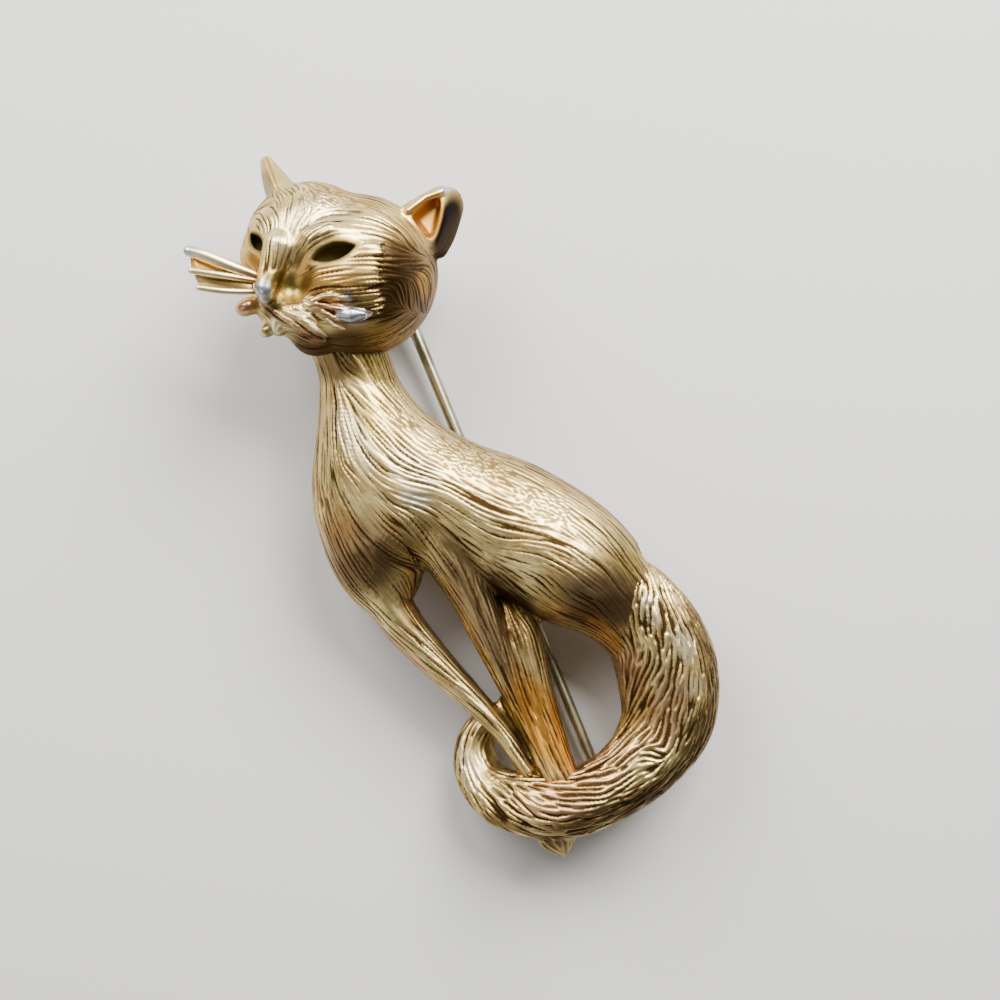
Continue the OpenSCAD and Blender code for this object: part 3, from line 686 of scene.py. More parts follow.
def hulled(rows, thickness, crisp=None):
    """The form stretched over balls at the given corners, each a share of the thickness. Its edges
    are rounded when it is less than fully crisp."""
    balls = [(placed(r), r[3] * thickness / 2) for r in rows]
    shell = bmesh.new()
    for at, radius in balls:
        for way in np.ndindex(3, 3, 3):
            step = np.array(way) - 1.0
            if step.any():
                shell.verts.new(at + step / np.linalg.norm(step) * radius)
    bmesh.ops.convex_hull(shell, input=shell.verts)
    planes = [(np.array(f.normal), np.array(f.verts[0].co)) for f in shell.faces]
    middle = np.mean([at for at, _ in balls], axis=0)
    planes = [(n if np.dot(p - middle, n) > 0 else -n, p) for n, p in planes]
    corners = np.array([v.co for v in shell.verts])
    shell.free()

    def away(x, y, z):
        sides = [n[0] * (x - p[0]) + n[1] * (y - p[1]) + n[2] * (z - p[2]) for n, p in planes]
        furthest = np.maximum.reduce(sides)
        if not crisp:
            return furthest
        return furthest + np.log(sum(np.exp(crisp * (s - furthest)) for s in sides)) / crisp - 1 / crisp
    low, high = padded_box(corners.min(axis=0), corners.max(axis=0))
    return low, high, away


tail_wax = Wax((-14.5, -31.5, -0.8), (15.0, -7.0, 12.0), TAIL_CELL)
tail = limb_rows(TAIL, *TAIL_SIZE)
tail_wax.add(limb(tail))
tail_wax.add(hulled(PAW, PAW_W, crisp=14), soft=0.3)
# The torso's hollow takes the tail's root away too
torso_hollow = limb_rows(TORSO, *TORSO_SIZE, hollow=(3, 8))
torso_hollow[:, 3:5] += APART
tail_wax.cut(limb(torso_hollow), soft=0.4)
tail_points, tail_faces = skin_mesh(tail_wax)
tail_out = outwards(tail_wax, tail_points)
hidden = turned_back(tail_out, -0.15)
# Where the strokes of the tail's tufts point: across, along, heading in degrees
TAIL_COMBING = [
    (7.3, -15.5, 76), (6.0, -15.8, 105), (6.5, -17.5, 32), (7.3, -18.5, 34), (6.0, -19.5, 26),
    (5.0, -21.0, 16), (3.5, -22.5, 12), (7.0, -20.5, 30), (8.5, -19.5, 48), (8.8, -17.5, 60),
    (9.3, -16.0, 74), (9.5, -14.0, 66), (10.0, -12.8, 60), (10.8, -14.5, 96), (11.0, -16.5, 83),
    (10.7, -18.5, 70), (10.2, -20.5, 65), (11.9, -17.0, 96), (12.0, -19.0, 80), (9.3, -21.5, 64),
    (8.5, -22.5, 55), (7.3, -22.3, 50), (6.8, -23.3, 62), (8.2, -24.5, 40), (10.3, -23.0, 60),
    (11.2, -21.5, 75), (5.3, -24.4, 138), (5.0, -22.8, 15), (3.0, -24.2, 8), (2.3, -23.6, 10),
    (1.0, -24.3, 172), (-0.3, -25.2, 150), (-2.0, -25.2, 148), (-0.5, -24.0, 165), (-3.0, -24.6, 135),
    (-4.3, -24.0, 128), (-5.3, -24.2, 122), (-4.0, -25.5, 150), (-2.5, -26.0, 160), (-1.0, -26.2, 170),
    (1.0, -26.0, 178), (3.0, -26.0, 14), (6.0, -26.0, 30), (3.5, -27.5, 8), (0.5, -27.7, 178),
    (-2.5, -27.0, 172), (-4.5, -26.8, 165), (-6.5, -25.5, 145), (-6.0, -23.5, 120), (-7.3, -24.0, 128),
    (-7.0, -22.5, 116), (-8.3, -23.5, 125), (-9.0, -23.0, 118), (-9.3, -21.5, 102), (-8.5, -21.0, 96),
    (-9.0, -19.5, 80), (-8.6, -18.5, 62), (-7.8, -17.7, 45), (-7.3, -18.9, 36), (-6.3, -17.2, 10),
    (-7.3, -20.5, 95), (-5.2, -17.5, 170), (-4.2, -28.8, 90)]
tail_way = way_over(tail_wax, combing_field(TAIL_COMBING))
# Places where the strokes are worn soft: across, along, radii, turn, strength
SOFT = [
    (-7.4, -20.6, 1.3, 2.2, 0, 0.75), (-5.4, -17.6, 2.2, 1.1, 0, 0.8), (6.0, -17.0, 1.0, 1.6, 0, 0.3),
    (-4.3, -29.0, 2.0, 1.2, 0, 0.6)]
SHORT_TUFTS = [(9.5, -14.6, 2.2, 3.0, 0, 0.6)]
reach = 1.0 - 0.4 * patches(tail_points, SHORT_TUFTS)
tail_points, groove, tail_out, _ = engraved(
    tail_wax, tail_points, tail_way, spacing=0.42, reach=reach, depth=0.15, seed=11,
    bare=np.maximum(hidden, patches(tail_points, SOFT)))
# Colour patches on the tail, tarnish, rose tones and painted light, in the same columns as the body's
# Painted shade lies along the tail's outer and lower edges, on the curl's lower side and on the paw under
# the tail; painted highlights, glints, lie on the outer curve and on the curl's left side
TAIL_STAINS_AND_PAINTED_LIGHT = [
    (0.0, -27.4, 6.5, 1.3, 0, UMBER_SHADE, 0.8), (-3.0, -25.0, 3.6, 2.0, -8, ROSE, 0.55),
    (1.8, -24.0, 3.0, 1.5, 5, ROSE, 0.5), (6.2, -17.8, 1.3, 2.2, 0, ROSE, 0.6),
    (9.2, -24.6, 2.8, 1.6, 45, UMBER_SHADE, 0.85), (11.9, -21.2, 0.9, 2.8, -15, UMBER_SHADE, 0.8),
    (12.3, -17.0, 0.8, 2.8, 0, UMBER_SHADE, 0.75), (5.0, -27.2, 4.4, 1.1, 22, UMBER_SHADE, 0.8),
    (4.4, -29.0, 1.0, 1.0, 0, UMBER_SHADE, 0.4), (-4.3, -28.9, 2.2, 1.3, 0, UMBER_SHADE, 0.7),
    (-7.6, -25.4, 2.2, 0.9, -35, UMBER_SHADE, 0.6), (-8.9, -20.5, 0.9, 2.2, 0, PAINTED_HIGHLIGHT, 0.5),
    (7.6, -21.6, 1.6, 3.4, -40, ROSE, 0.55), (10.7, -17.3, 1.1, 1.7, 0, PAINTED_HIGHLIGHT, 0.65),
    (10.2, -20.8, 0.9, 0.9, 0, PAINTED_HIGHLIGHT, 0.6), (9.3, -14.0, 1.1, 1.5, 0, PAINTED_HIGHLIGHT, 0.6),
    (-7.2, -20.6, 1.0, 2.0, 0, OLIVE, 0.3), (-5.2, -17.6, 1.8, 1.2, 0, OLIVE, 0.75)]
# Painted shade: the tail's steep sides are laid over with a mid brown
steep = eased(0.6, 0.15, tail_out[:, 2])
tint = stains_and_painted_light(tail_points, TAIL_STAINS_AND_PAINTED_LIGHT, [(steep, SHADED, 0.55)],
               1 - turned_back(tail_out, PATCHES_END))
tail_piece = piece("cat_tail", tail_points, tail_faces, {"groove": groove, "fur": 1 - hidden, "tint": tint},
                   body_gold)
tail_piece = lightened(tail_piece, "fur", BACK_KEPT)
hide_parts("figure")
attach(tail_piece, "casting")

# Head
# The cat's head, turned outwards, hollow from the back, with two deep eyes whose insides are painted dark
# as shade: the same casting, with a round nose, a rubbed muzzle, a stepped edge of fur on the cheek and
# cupped ears.
HEAD_W = 14.5
HEAD_CELL = 0.094
# The head's lobes: place across, along and up as shares of the figure, radii as shares of HEAD_W
HEAD = [
    (-0.085, 0.318, 0.50, 0.458, 0.440, 0.500),
    (-0.169, 0.377, 0.59, 0.345, 0.321, 0.345),
    (-0.288, 0.378, 0.63, 0.165, 0.150, 0.190),
    (-0.100, 0.300, 0.63, 0.305, 0.250, 0.345),
    (-0.275, 0.316, 0.66, 0.205, 0.205, 0.250),
    (-0.265, 0.292, 0.81, 0.138, 0.103, 0.110),
    (-0.400, 0.323, 0.77, 0.069, 0.048, 0.076),
    (-0.378, 0.287, 0.73, 0.040, 0.034, 0.060),
    (-0.341, 0.281, 0.79, 0.036, 0.038, 0.060),
    (-0.252, 0.270, 0.58, 0.138, 0.140, 0.240)]
# Each is a place along a stroke: across, along, height and thickness, as shares
VALLEY = [(-0.292, 0.317, 0.905, 0.6), (-0.254, 0.319, 0.905, 1.35), (-0.215, 0.334, 0.930, 1.0),
          (-0.192, 0.347, 0.945, 0.7)]
NOSE = [(-0.3315, 0.3225, 0.869, 0.85), (-0.327, 0.331, 0.889, 1.0), (-0.296, 0.348, 0.875, 1.1),
        (-0.246, 0.373, 0.850, 1.6)]
BROW = [(-0.205, 0.352, 0.86, 0.8), (-0.150, 0.364, 0.91, 1.0), (-0.095, 0.363, 0.92, 1.0),
        (-0.030, 0.348, 0.86, 0.8)]
NOSE_W, BROW_W, EAR_EDGE, WHISKER_D = 1.65, 1.6, 0.9, 0.7
# The ears' corners: across, along, height and thickness, as shares
FAR_EAR = [(-0.202, 0.496, 0.620, 0.8), (-0.186, 0.496, 0.620, 0.8), (-0.221, 0.472, 0.580, 0.7),
           (-0.221, 0.450, 0.540, 1.1), (-0.166, 0.472, 0.580, 0.7), (-0.153, 0.448, 0.575, 1.1),
           (-0.199, 0.470, 0.680, 0.5), (-0.192, 0.440, 0.750, 0.9), (-0.188, 0.442, 0.450, 1.9)]
NEAR_EAR = [(0.127, 0.365, 0.690, 0.90), (0.257, 0.376, 0.600, 0.90), (0.295, 0.367, 0.520, 0.90),
            (0.295, 0.351, 0.495, 0.85), (0.235, 0.319, 0.490, 0.90), (0.183, 0.301, 0.510, 1.00),
            (0.163, 0.310, 0.650, 0.65), (0.236, 0.344, 0.630, 0.50), (0.100, 0.333, 0.470, 3.10)]
NEAR_EAR_CUP = [(0.145, 0.358, 0.790, 0.55), (0.246, 0.368, 0.715, 0.45), (0.231, 0.347, 0.720, 0.35),
                (0.164, 0.314, 0.760, 0.45), (0.165, 0.348, 0.610, 0.70), (0.226, 0.359, 0.580, 0.60),
                (0.177, 0.328, 0.600, 0.60)]
# Strokes and corners of the whiskers, as shares too
NEAR_WHISKERS = [
    [(-0.326, 0.299, 0.890, 0.55), (-0.292, 0.277, 0.895, 0.70), (-0.258, 0.254, 0.860, 0.65),
     (-0.231, 0.245, 0.835, 0.55)],
    [(-0.300, 0.297, 0.900, 0.75), (-0.262, 0.277, 0.905, 1.15), (-0.238, 0.258, 0.890, 0.85),
     (-0.221, 0.248, 0.865, 0.50)],
    [(-0.269, 0.293, 0.905, 0.70), (-0.242, 0.278, 0.905, 0.85), (-0.229, 0.267, 0.890, 0.50)],
    [(-0.238, 0.293, 0.910, 0.55), (-0.208, 0.272, 0.905, 0.65), (-0.183, 0.254, 0.880, 0.60),
     (-0.163, 0.2475, 0.865, 0.45)],
    [(-0.225, 0.288, 0.915, 0.50), (-0.188, 0.270, 0.910, 0.60), (-0.165, 0.258, 0.895, 0.45)],
    [(-0.212, 0.288, 0.920, 0.50), (-0.165, 0.275, 0.920, 0.60), (-0.135, 0.267, 0.905, 0.70)],
    [(-0.219, 0.293, 0.920, 0.50), (-0.181, 0.293, 0.932, 0.60), (-0.146, 0.287, 0.930, 0.60),
     (-0.115, 0.277, 0.915, 0.70)],
    [(-0.154, 0.265, 0.895, 1.20), (-0.127, 0.258, 0.900, 1.60), (-0.100, 0.254, 0.885, 1.25),
     (-0.083, 0.253, 0.870, 0.80)]]
WHISKER_WEBS = [
    [(-0.358, 0.354, 0.840, 0.5), (-0.488, 0.400, 0.895, 0.5), (-0.496, 0.388, 0.895, 0.5),
     (-0.358, 0.346, 0.840, 0.5)],
    [(-0.365, 0.342, 0.840, 0.5), (-0.496, 0.381, 0.890, 0.5), (-0.496, 0.369, 0.885, 0.5),
     (-0.370, 0.336, 0.840, 0.5)]]
NEAR_EYE, NEAR_EYE_TURN, NEAR_EYE_SIZE = (-0.106, 0.338, 0.825), -6, (3.45, 1.25)
FAR_EYE, FAR_EYE_TURN, FAR_EYE_SIZE = (-0.304, 0.393, 0.70), 103, (1.75, 0.84)
# Details of the casting in mm: a lid behind the far eye, and the rim of the near ear
FAR_LID = [(-8.35, 24.75, 10.9, 0.5), (-8.75, 24.0, 11.4, 0.7), (-8.45, 23.1, 12.1, 0.55)]
EAR_RIM = [(3.6, 21.7, 11.3, 0.45), (5.2, 22.2, 10.7, 0.6), (6.6, 22.3, 9.9, 0.7)]


def above_back(form):
    """A form without what would reach behind the casting's back."""
    low, high, away = form
    return low, high, lambda x, y, z: np.maximum(away(x, y, z), BACK_Z - z)


def stroke(rows, thickness, place=placed):
    """The form of a ridge: balls run into one chain."""
    balls = [(place(r), r[3] * thickness / 2) for r in rows]
    ats = np.array([at for at, _ in balls])
    low, high = padded_box(ats.min(axis=0) - thickness, ats.max(axis=0) + thickness)

    def away(x, y, z):
        nearest = FAR_AWAY
        for (a, ra), (b, rb) in zip(balls, balls[1:]):
            step = b - a
            t = ((x - a[0]) * step[0] + (y - a[1]) * step[1] + (z - a[2]) * step[2]) / step.dot(step)
            t = np.clip(t, 0, 1)
            off = np.sqrt((x - a[0] - t * step[0]) ** 2 + (y - a[1] - t * step[1]) ** 2
                          + (z - a[2] - t * step[2]) ** 2)
            nearest = np.minimum(nearest, off - ra - t * (rb - ra))
        return nearest
    return low, high, away


def almond(at, size, turn):
    """The form of an eye's opening, cut straight in from the front."""
    length, height = size
    radius = (length ** 2 + height ** 2) / (4 * height)
    c, s = math.cos(math.radians(turn)), math.sin(math.radians(turn))
    low, high = padded_box([at[0] - length, at[1] - length, at[2]],
                           [at[0] + length, at[1] + length, at[2] + FIGURE_D])

    def away(x, y, z):
        u, v = c * (x - at[0]) + s * (y - at[1]), c * (y - at[1]) - s * (x - at[0])
        lids = [np.hypot(u, v - side * (radius - height / 2)) - radius for side in (1, -1)]
        return np.maximum(np.maximum(*lids), at[2] - z)
    return low, high, away


def in_mm(row):
    """A place that is given in mm already."""
    return np.array(row[:3])


head_wax = Wax((-15.0, 11.0, 2.4), (10.0, 32.0, 17.2), HEAD_CELL)
for x, y, z, rx, ry, rz in HEAD:
    head_wax.add(above_back(oval(placed((x, y, z)), [r * HEAD_W for r in (rx, ry, rz)])), soft=0.6)
head_wax.add(stroke(BROW, BROW_W), soft=0.8)
head_wax.dent(stroke(VALLEY, NOSE_W), soft=0.5)
head_wax.add(stroke(NOSE, NOSE_W), soft=0.35)
head_wax.add(stroke(FAR_LID, 1.0, in_mm), soft=0.2)
for rows in NEAR_WHISKERS:
    head_wax.add(stroke(rows, WHISKER_D), soft=0.12)
for rows in WHISKER_WEBS:
    head_wax.add(hulled(rows, WHISKER_D), soft=0.1)
head_wax.add(above_back(hulled(FAR_EAR, EAR_EDGE, crisp=14)), soft=0.5)
ear_low, ear_high, ear_away = hulled(NEAR_EAR, EAR_EDGE, crisp=14)
_, _, cup_away = hulled(NEAR_EAR_CUP, EAR_EDGE, crisp=14)
head_wax.add(above_back((ear_low, ear_high, lambda x, y, z: -merged(
    -ear_away(x, y, z), cup_away(x, y, z), soft=0.12))), soft=0.35)
head_wax.add(stroke(EAR_RIM, 1.0, in_mm), soft=0.2)
head_wax.cut(oval(placed(HEAD_HOLLOW_AT), HEAD_HOLLOW_RADII), soft=0.3)
head_wax.cut(almond(placed(NEAR_EYE), NEAR_EYE_SIZE, NEAR_EYE_TURN), soft=0.12)
head_wax.cut(almond(placed(FAR_EYE), FAR_EYE_SIZE, FAR_EYE_TURN), soft=0.12)

# Where the strands of fur point on the head: across, along, heading in degrees
HEAD_COMBING = [
    (-8.0, 21.2, 60), (-7.0, 22.5, 68), (-6.2, 23.6, 65), (-6.5, 25.0, 108), (-5.6, 24.9, 102),
    (-4.6, 25.0, 62), (-5.0, 23.6, 58), (-7.6, 25.4, 140), (-6.2, 26.0, 150), (-4.8, 26.4, 100),
    (-3.0, 25.4, 80), (-1.5, 25.0, -35), (-4.2, 23.0, 35), (-5.4, 21.4, 48), (-4.4, 22.0, 25),
    (-3.0, 22.4, 4), (-1.5, 22.0, -14), (0.0, 21.4, -22), (1.0, 23.0, -35), (2.2, 21.5, -50),
    (3.2, 19.5, -68), (1.5, 20.2, -30), (0.5, 19.3, -20), (-1.0, 19.2, -20), (-3.5, 19.8, -18),
    (-3.0, 18.6, -15), (-5.0, 18.8, -8), (-1.8, 17.4, -18), (0.5, 17.5, -28), (2.0, 18.0, -12),
    (3.0, 17.5, -10), (1.0, 15.5, -80), (2.6, 15.6, -62), (3.6, 16.5, -40), (-1.5, 14.5, -20),
    (-4.0, 13.8, -10), (-7.0, 15.0, -40), (-8.8, 15.5, -45), (-9.2, 24.2, 60), (-9.0, 22.8, -50),
    (0.0, 13.5, -10), (5.0, 20.5, 30), (-5.0, 28.0, 85)]
head_way = way_over(head_wax, combing_field(HEAD_COMBING))
head_points, head_faces = skin_mesh(head_wax)
head_out = outwards(head_wax, head_points)
inside = eased(0.5, 0.2, sampled(head_wax.cuts, (head_points - head_wax.low) / HEAD_CELL))
hidden = np.maximum(inside, turned_back(head_out))
# Plain places: across, along, radii, turn, how plain
PLAIN = [
    (-8.7, 19.8, 1.1, 1.2, 0, 1.0), (-7.3, 20.2, 1.4, 0.55, -12, 1.0), (-6.8, 19.0, 1.5, 0.9, 15, 0.9),
    (5.6, 20.7, 2.9, 2.4, 35, 1.0), (-4.9, 28.6, 1.7, 2.1, 0, 1.0), (-5.6, 16.2, 3.4, 1.7, -35, 0.4),
    (-9.6, 17.0, 1.5, 0.9, -30, 1.0), (-11.3, 21.2, 2.6, 3.2, 40, 1.0), (-8.6, 23.2, 0.9, 1.8, 0, 0.9)]
plain = patches(head_points, PLAIN)
STIPPLED = [(-1.6, 24.6, 3.4, 1.3, -32, 1.0), (-3.9, 23.4, 1.2, 0.9, 0, 0.8)]
stippled = patches(head_points, STIPPLED)
STRAND_REACH, DOT_REACH = 1.8, 0.25
reach = STRAND_REACH - (STRAND_REACH - DOT_REACH) * stippled
head_points, groove, head_out, ripple = engraved(
    head_wax, head_points, head_way, spacing=0.30, reach=reach, depth=0.065, seed=5,
    bare=np.maximum.reduce([hidden, plain, DOTS_SHALLOWER * stippled]))

# The cheek's fur ends in a step, jagged by its strands: the middle of the step, and its way across
STEP_MIDDLE, STEP_WAY, STEP_RISE, STEP_JAGS = (-0.4, 17.3), (-0.9, 0.43), 0.3, 0.28
u = (head_points[:, 0] - STEP_MIDDLE[0]) * STEP_WAY[0] + (head_points[:, 1] - STEP_MIDDLE[1]) * STEP_WAY[1]
v = (head_points[:, 0] - STEP_MIDDLE[0]) * STEP_WAY[1] - (head_points[:, 1] - STEP_MIDDLE[1]) * STEP_WAY[0]
on_step = eased(2.9, 2.2, np.abs(v)) * (1 - hidden)
rise = eased(-0.1, 0.1, u + STEP_JAGS * ripple) * eased(3.0, 0.3, u) * on_step
head_points = head_points + head_out * (STEP_RISE * rise)[:, None]
# Behind the step the head turns away, and there it gets painted shade
behind_step = eased(0.05, -0.15, u + STEP_JAGS * ripple) * eased(-3.2, -0.6, u) * eased(3.4, 2.4, np.abs(v))

# Painted shade: the head's steep sides are laid over with a mid brown
steep = eased(0.6, 0.15, head_out[:, 2])
near_stroke = [stroke(rows, WHISKER_D)[2](*head_points.T) for rows in NEAR_WHISKERS]
on_strokes = [eased(0.16, 0.03, away) for away in near_stroke]
# Painted shade in the gaps between the near whiskers
between = eased(0.9, 0.3, np.minimum.reduce(near_stroke)) * (1 - np.maximum.reduce(on_strokes))
# A colour and its strength for each of the near whiskers: painted highlights along most ridges, rose tones
# on others, and the white metal where the last is worn
STROKE_COLOURS = (
    (ROSE, 0.4), (PAINTED_HIGHLIGHT, 0.15), (PAINTED_HIGHLIGHT, 0.3), (PAINTED_HIGHLIGHT, 0.3), (ROSE, 0.4), (ROSE, 0.4), (PAINTED_HIGHLIGHT, 0.4), (WORN, 0.5))
in_cup = eased(0.3, 0.12, cup_away(*head_points.T))
# The eyes' pockets are painted a dark olive-brown as shade; the near ear's cup is amber inside
in_eye = eased(0.25, 0.1, sampled(head_wax.cuts, (head_points - head_wax.low) / HEAD_CELL))
CUP, EYE = linear("#B88A42"), linear("#6E6034")
# Colour patches on the head, tarnish, amber tones, rubbed places and painted light, in the same columns as
# the body's
# Painted shade lies in the muzzle's valley and the near eye's socket, in the mouth's gap, under the chin
# and jaw, between the far whiskers and on the head's lower right; the back of the near ear carries a
# painted dark reflection; painted highlights lie on the forehead, the brow and the chin
HEAD_STAINS_AND_PAINTED_LIGHT = [
    (-4.0, 18.4, 2.6, 1.3, -10, AMBER, 0.75), (-7.0, 19.1, 1.6, 0.9, 10, OLIVE, 0.9),
    (-5.3, 20.2, 0.6, 1.3, -35, AMBER, 0.7), (-9.0, 22.3, 0.8, 1.5, 35, AMBER, 0.9),
    (2.2, 16.0, 3.0, 3.4, 20, UMBER_SHADE, 0.95), (2.3, 15.6, 2.4, 2.8, 20, BLACK_SHADE, 0.35),
    (-7.3, 14.6, 2.2, 1.6, -20, BLACK_SHADE, 0.65), (-2.6, 23.6, 3.0, 1.5, -20, PAINTED_HIGHLIGHT, 0.45),
    (-6.3, 23.0, 1.0, 2.2, 0, PAINTED_HIGHLIGHT, 0.35), (0.6, 14.6, 3.2, 1.8, 0, UMBER_SHADE, 0.8),
    (2.9, 16.2, 0.7, 1.6, -20, AMBER, 0.4), (1.8, 19.4, 2.0, 1.3, -35, UMBER_SHADE, 0.45),
    (-5.5, 21.3, 1.0, 0.6, 45, UMBER_SHADE, 0.6), (-6.9, 21.8, 1.2, 0.9, 60, OLIVE, 0.5),
    (-9.2, 15.5, 1.4, 1.2, -40, BLACK_SHADE, 0.6), (-6.0, 14.2, 4.0, 1.2, -5, UMBER_SHADE, 0.95),
    (-9.6, 16.9, 0.5, 0.8, 0, BLACK_SHADE, 0.6), (-8.8, 17.0, 0.5, 0.6, 0, PAINTED_HIGHLIGHT, 0.6),
    (-8.8, 18.2, 0.9, 0.6, -30, UMBER_SHADE, 0.95), (-10.6, 19.3, 1.1, 0.8, 0, ROSE, 0.8),
    (6.0, 19.6, 1.15, 3.3, -38, BLACK_SHADE, 1.0), (-7.2, 20.2, 1.3, 0.5, -12, OLIVE, 0.8),
    (-5.7, 27.9, 0.55, 1.2, 0, OLIVE, 0.8), (-7.4, 26.2, 1.8, 0.6, 25, ROSE, 0.6),
    (-4.6, 16.4, 1.4, 0.7, -30, ROSE, 0.5), (-6.9, 15.5, 0.5, 1.1, 35, ROSE, 0.7),
    (-12.2, 23.2, 1.3, 0.5, -40, AMBER, 0.9), (-10.4, 21.6, 1.4, 0.4, -40, OLIVE, 0.8),
    (-11.2, 21.4, 2.0, 0.35, -32, UMBER_SHADE, 0.8), (-8.7, 19.7, 0.8, 0.9, 0, WORN, 0.9),
    (-3.2, 15.5, 1.2, 0.7, -25, WORN, 0.95), (-3.0, 16.85, 0.4, 0.4, 0, WORN, 0.9),
    (7.0, 22.5, 0.8, 0.4, 0, WORN, 0.8)]
tint = stains_and_painted_light(head_points, HEAD_STAINS_AND_PAINTED_LIGHT, [
    (steep, SHADED, 0.5), (behind_step, UMBER_SHADE, 0.95), (behind_step, BLACK_SHADE, 0.35),
    (between, UMBER_SHADE, 0.6), (in_cup, CUP, 0.95), (in_eye, EYE, 0.95),
    *((on, colour, share) for on, (colour, share) in zip(on_strokes, STROKE_COLOURS))],
    1 - turned_back(head_out, PATCHES_END))
# Dull places, such as the back of the near ear, whose black is a painted dark reflection: across, along,
# radii, turn, how dull
DULL = [
    (6.0, 19.6, 1.15, 3.3, -38, 0.9), (-7.4, 14.6, 2.0, 1.6, 0, 0.8), (5.2, 20.6, 1.3, 1.3, 0, 0.4),
    (-6.5, 14.6, 4.2, 1.6, -10, 0.6)]
matt = np.maximum(inside, patches(head_points, DULL))
head = piece("cat_head", head_points, head_faces,
             {"groove": groove, "fur": 1 - hidden, "tint": tint, "matt": matt}, body_gold)
head = lightened(head, "fur", BACK_KEPT)
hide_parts("figure")
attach(head, "casting")

# Whiskers
# Three thick cast whiskers that stand out of the far side of the muzzle, round at their ends, one
# of them rubbed through to the white metal. Thin webs of the head's casting join them.
FAR_WHISKERS = [
    [(-0.327, 0.3475, 0.850, 0.80), (-0.400, 0.375, 0.890, 1.35), (-0.454, 0.397, 0.905, 1.45),
     (-0.488, 0.409, 0.912, 1.20)],
    [(-0.338, 0.344, 0.850, 0.60), (-0.423, 0.365, 0.895, 0.75), (-0.502, 0.385, 0.912, 0.75)],
    [(-0.352, 0.332, 0.850, 0.60), (-0.434, 0.346, 0.890, 0.75), (-0.502, 0.362, 0.908, 0.70)]]
WHISKER_SIDES = 18


def rounded_path(rows):
    """A whisker's middle line and radius, with both ends drawn in to a round tip."""
    points = smooth_rows(np.array([[*placed(r), r[3] * WHISKER_D / 2] for r in rows]), 8)
    tips = []
    for end, inner in ((points[0], points[1]), (points[-1], points[-2])):
        way = (end[:3] - inner[:3]) / np.linalg.norm(end[:3] - inner[:3])
        tips.append([[*(end[:3] + way * end[3] * math.sin(a)), end[3] * math.cos(a)]
                     for a in np.radians((30, 55, 75, 89))])
    return np.array(tips[0][::-1] + points.tolist() + tips[1])


def input_key(tree, name):
    """The key under which a modifier holds a tree's named input."""
    return next(i.identifier for i in tree.interface.items_tree if i.name == name)


whisker_tree = bpy.data.node_groups.new("cast_whiskers", "GeometryNodeTree")
whisker_tree.interface.new_socket("Geometry", in_out="OUTPUT", socket_type="NodeSocketGeometry")
for name, kind in (("Geometry", "NodeSocketGeometry"), ("Sides", "NodeSocketInt"),
                   ("Thickness", "NodeSocketFloat"), ("Metal", "NodeSocketMaterial")):
    whisker_tree.interface.new_socket(name, in_out="INPUT", socket_type=kind)
given = add_node(whisker_tree, "NodeGroupInput")
line = add_node(whisker_tree, "GeometryNodeMeshToCurve", {"Mesh": given.outputs["Geometry"]})
radius = add_node(whisker_tree, "GeometryNodeInputNamedAttribute", {"Name": "radius_mm"},
                  data_type="FLOAT")
scaled = add_node(whisker_tree, "ShaderNodeMath",
                  {0: radius.outputs["Attribute"], 1: given.outputs["Thickness"]}, operation="MULTIPLY")
sized = add_node(whisker_tree, "GeometryNodeSetCurveRadius",
                 {"Curve": line.outputs["Curve"], "Radius": scaled.outputs[0]})
section = add_node(whisker_tree, "GeometryNodeCurvePrimitiveCircle",
                   {"Resolution": given.outputs["Sides"], "Radius": 1.0})
swept = add_node(whisker_tree, "GeometryNodeCurveToMesh",
                 {"Curve": sized.outputs["Curve"], "Profile Curve": section.outputs["Curve"],
                  "Fill Caps": True, "Scale": scaled.outputs[0]})
real = add_node(whisker_tree, "GeometryNodeRealizeInstances", {"Geometry": swept.outputs["Mesh"]})
coated = add_node(whisker_tree, "GeometryNodeSetMaterial",
                  {"Geometry": real.outputs["Geometry"], "Material": given.outputs["Metal"]})
add_node(whisker_tree, "NodeGroupOutput", {"Geometry": coated.outputs["Geometry"]})

paths = [rounded_path(rows) for rows in FAR_WHISKERS]
line_points = np.concatenate(paths)
line_edges, first = [], 0
for path in paths:
    line_edges += [(first + i, first + i + 1) for i in range(len(path) - 1)]
    first += len(path)
line_mesh = bpy.data.meshes.new("whiskers")
line_mesh.from_pydata((line_points[:, :3] * MM).tolist(), line_edges, [])
line_mesh.attributes.new("radius_mm", "FLOAT", "POINT").data.foreach_set("value", line_points[:, 3])
whiskers = bpy.data.objects.new("whiskers", line_mesh)
bpy.context.scene.collection.objects.link(whiskers)
sweep = whiskers.modifiers.new("sweep", "NODES")
sweep.node_group = whisker_tree
for name, value in (("Sides", WHISKER_SIDES), ("Thickness", MM), ("Metal", body_gold)):
    sweep[input_key(whisker_tree, name)] = value
swept_mesh = bpy.data.meshes.new_from_object(
    whiskers.evaluated_get(bpy.context.evaluated_depsgraph_get()))
whiskers.modifiers.clear()
whiskers.data = swept_mesh
swept_mesh.polygons.foreach_set("use_smooth", [True] * len(swept_mesh.polygons))
at = np.zeros(3 * len(swept_mesh.vertices))
swept_mesh.vertices.foreach_get("co", at)
at = at.reshape(-1, 3) / MM
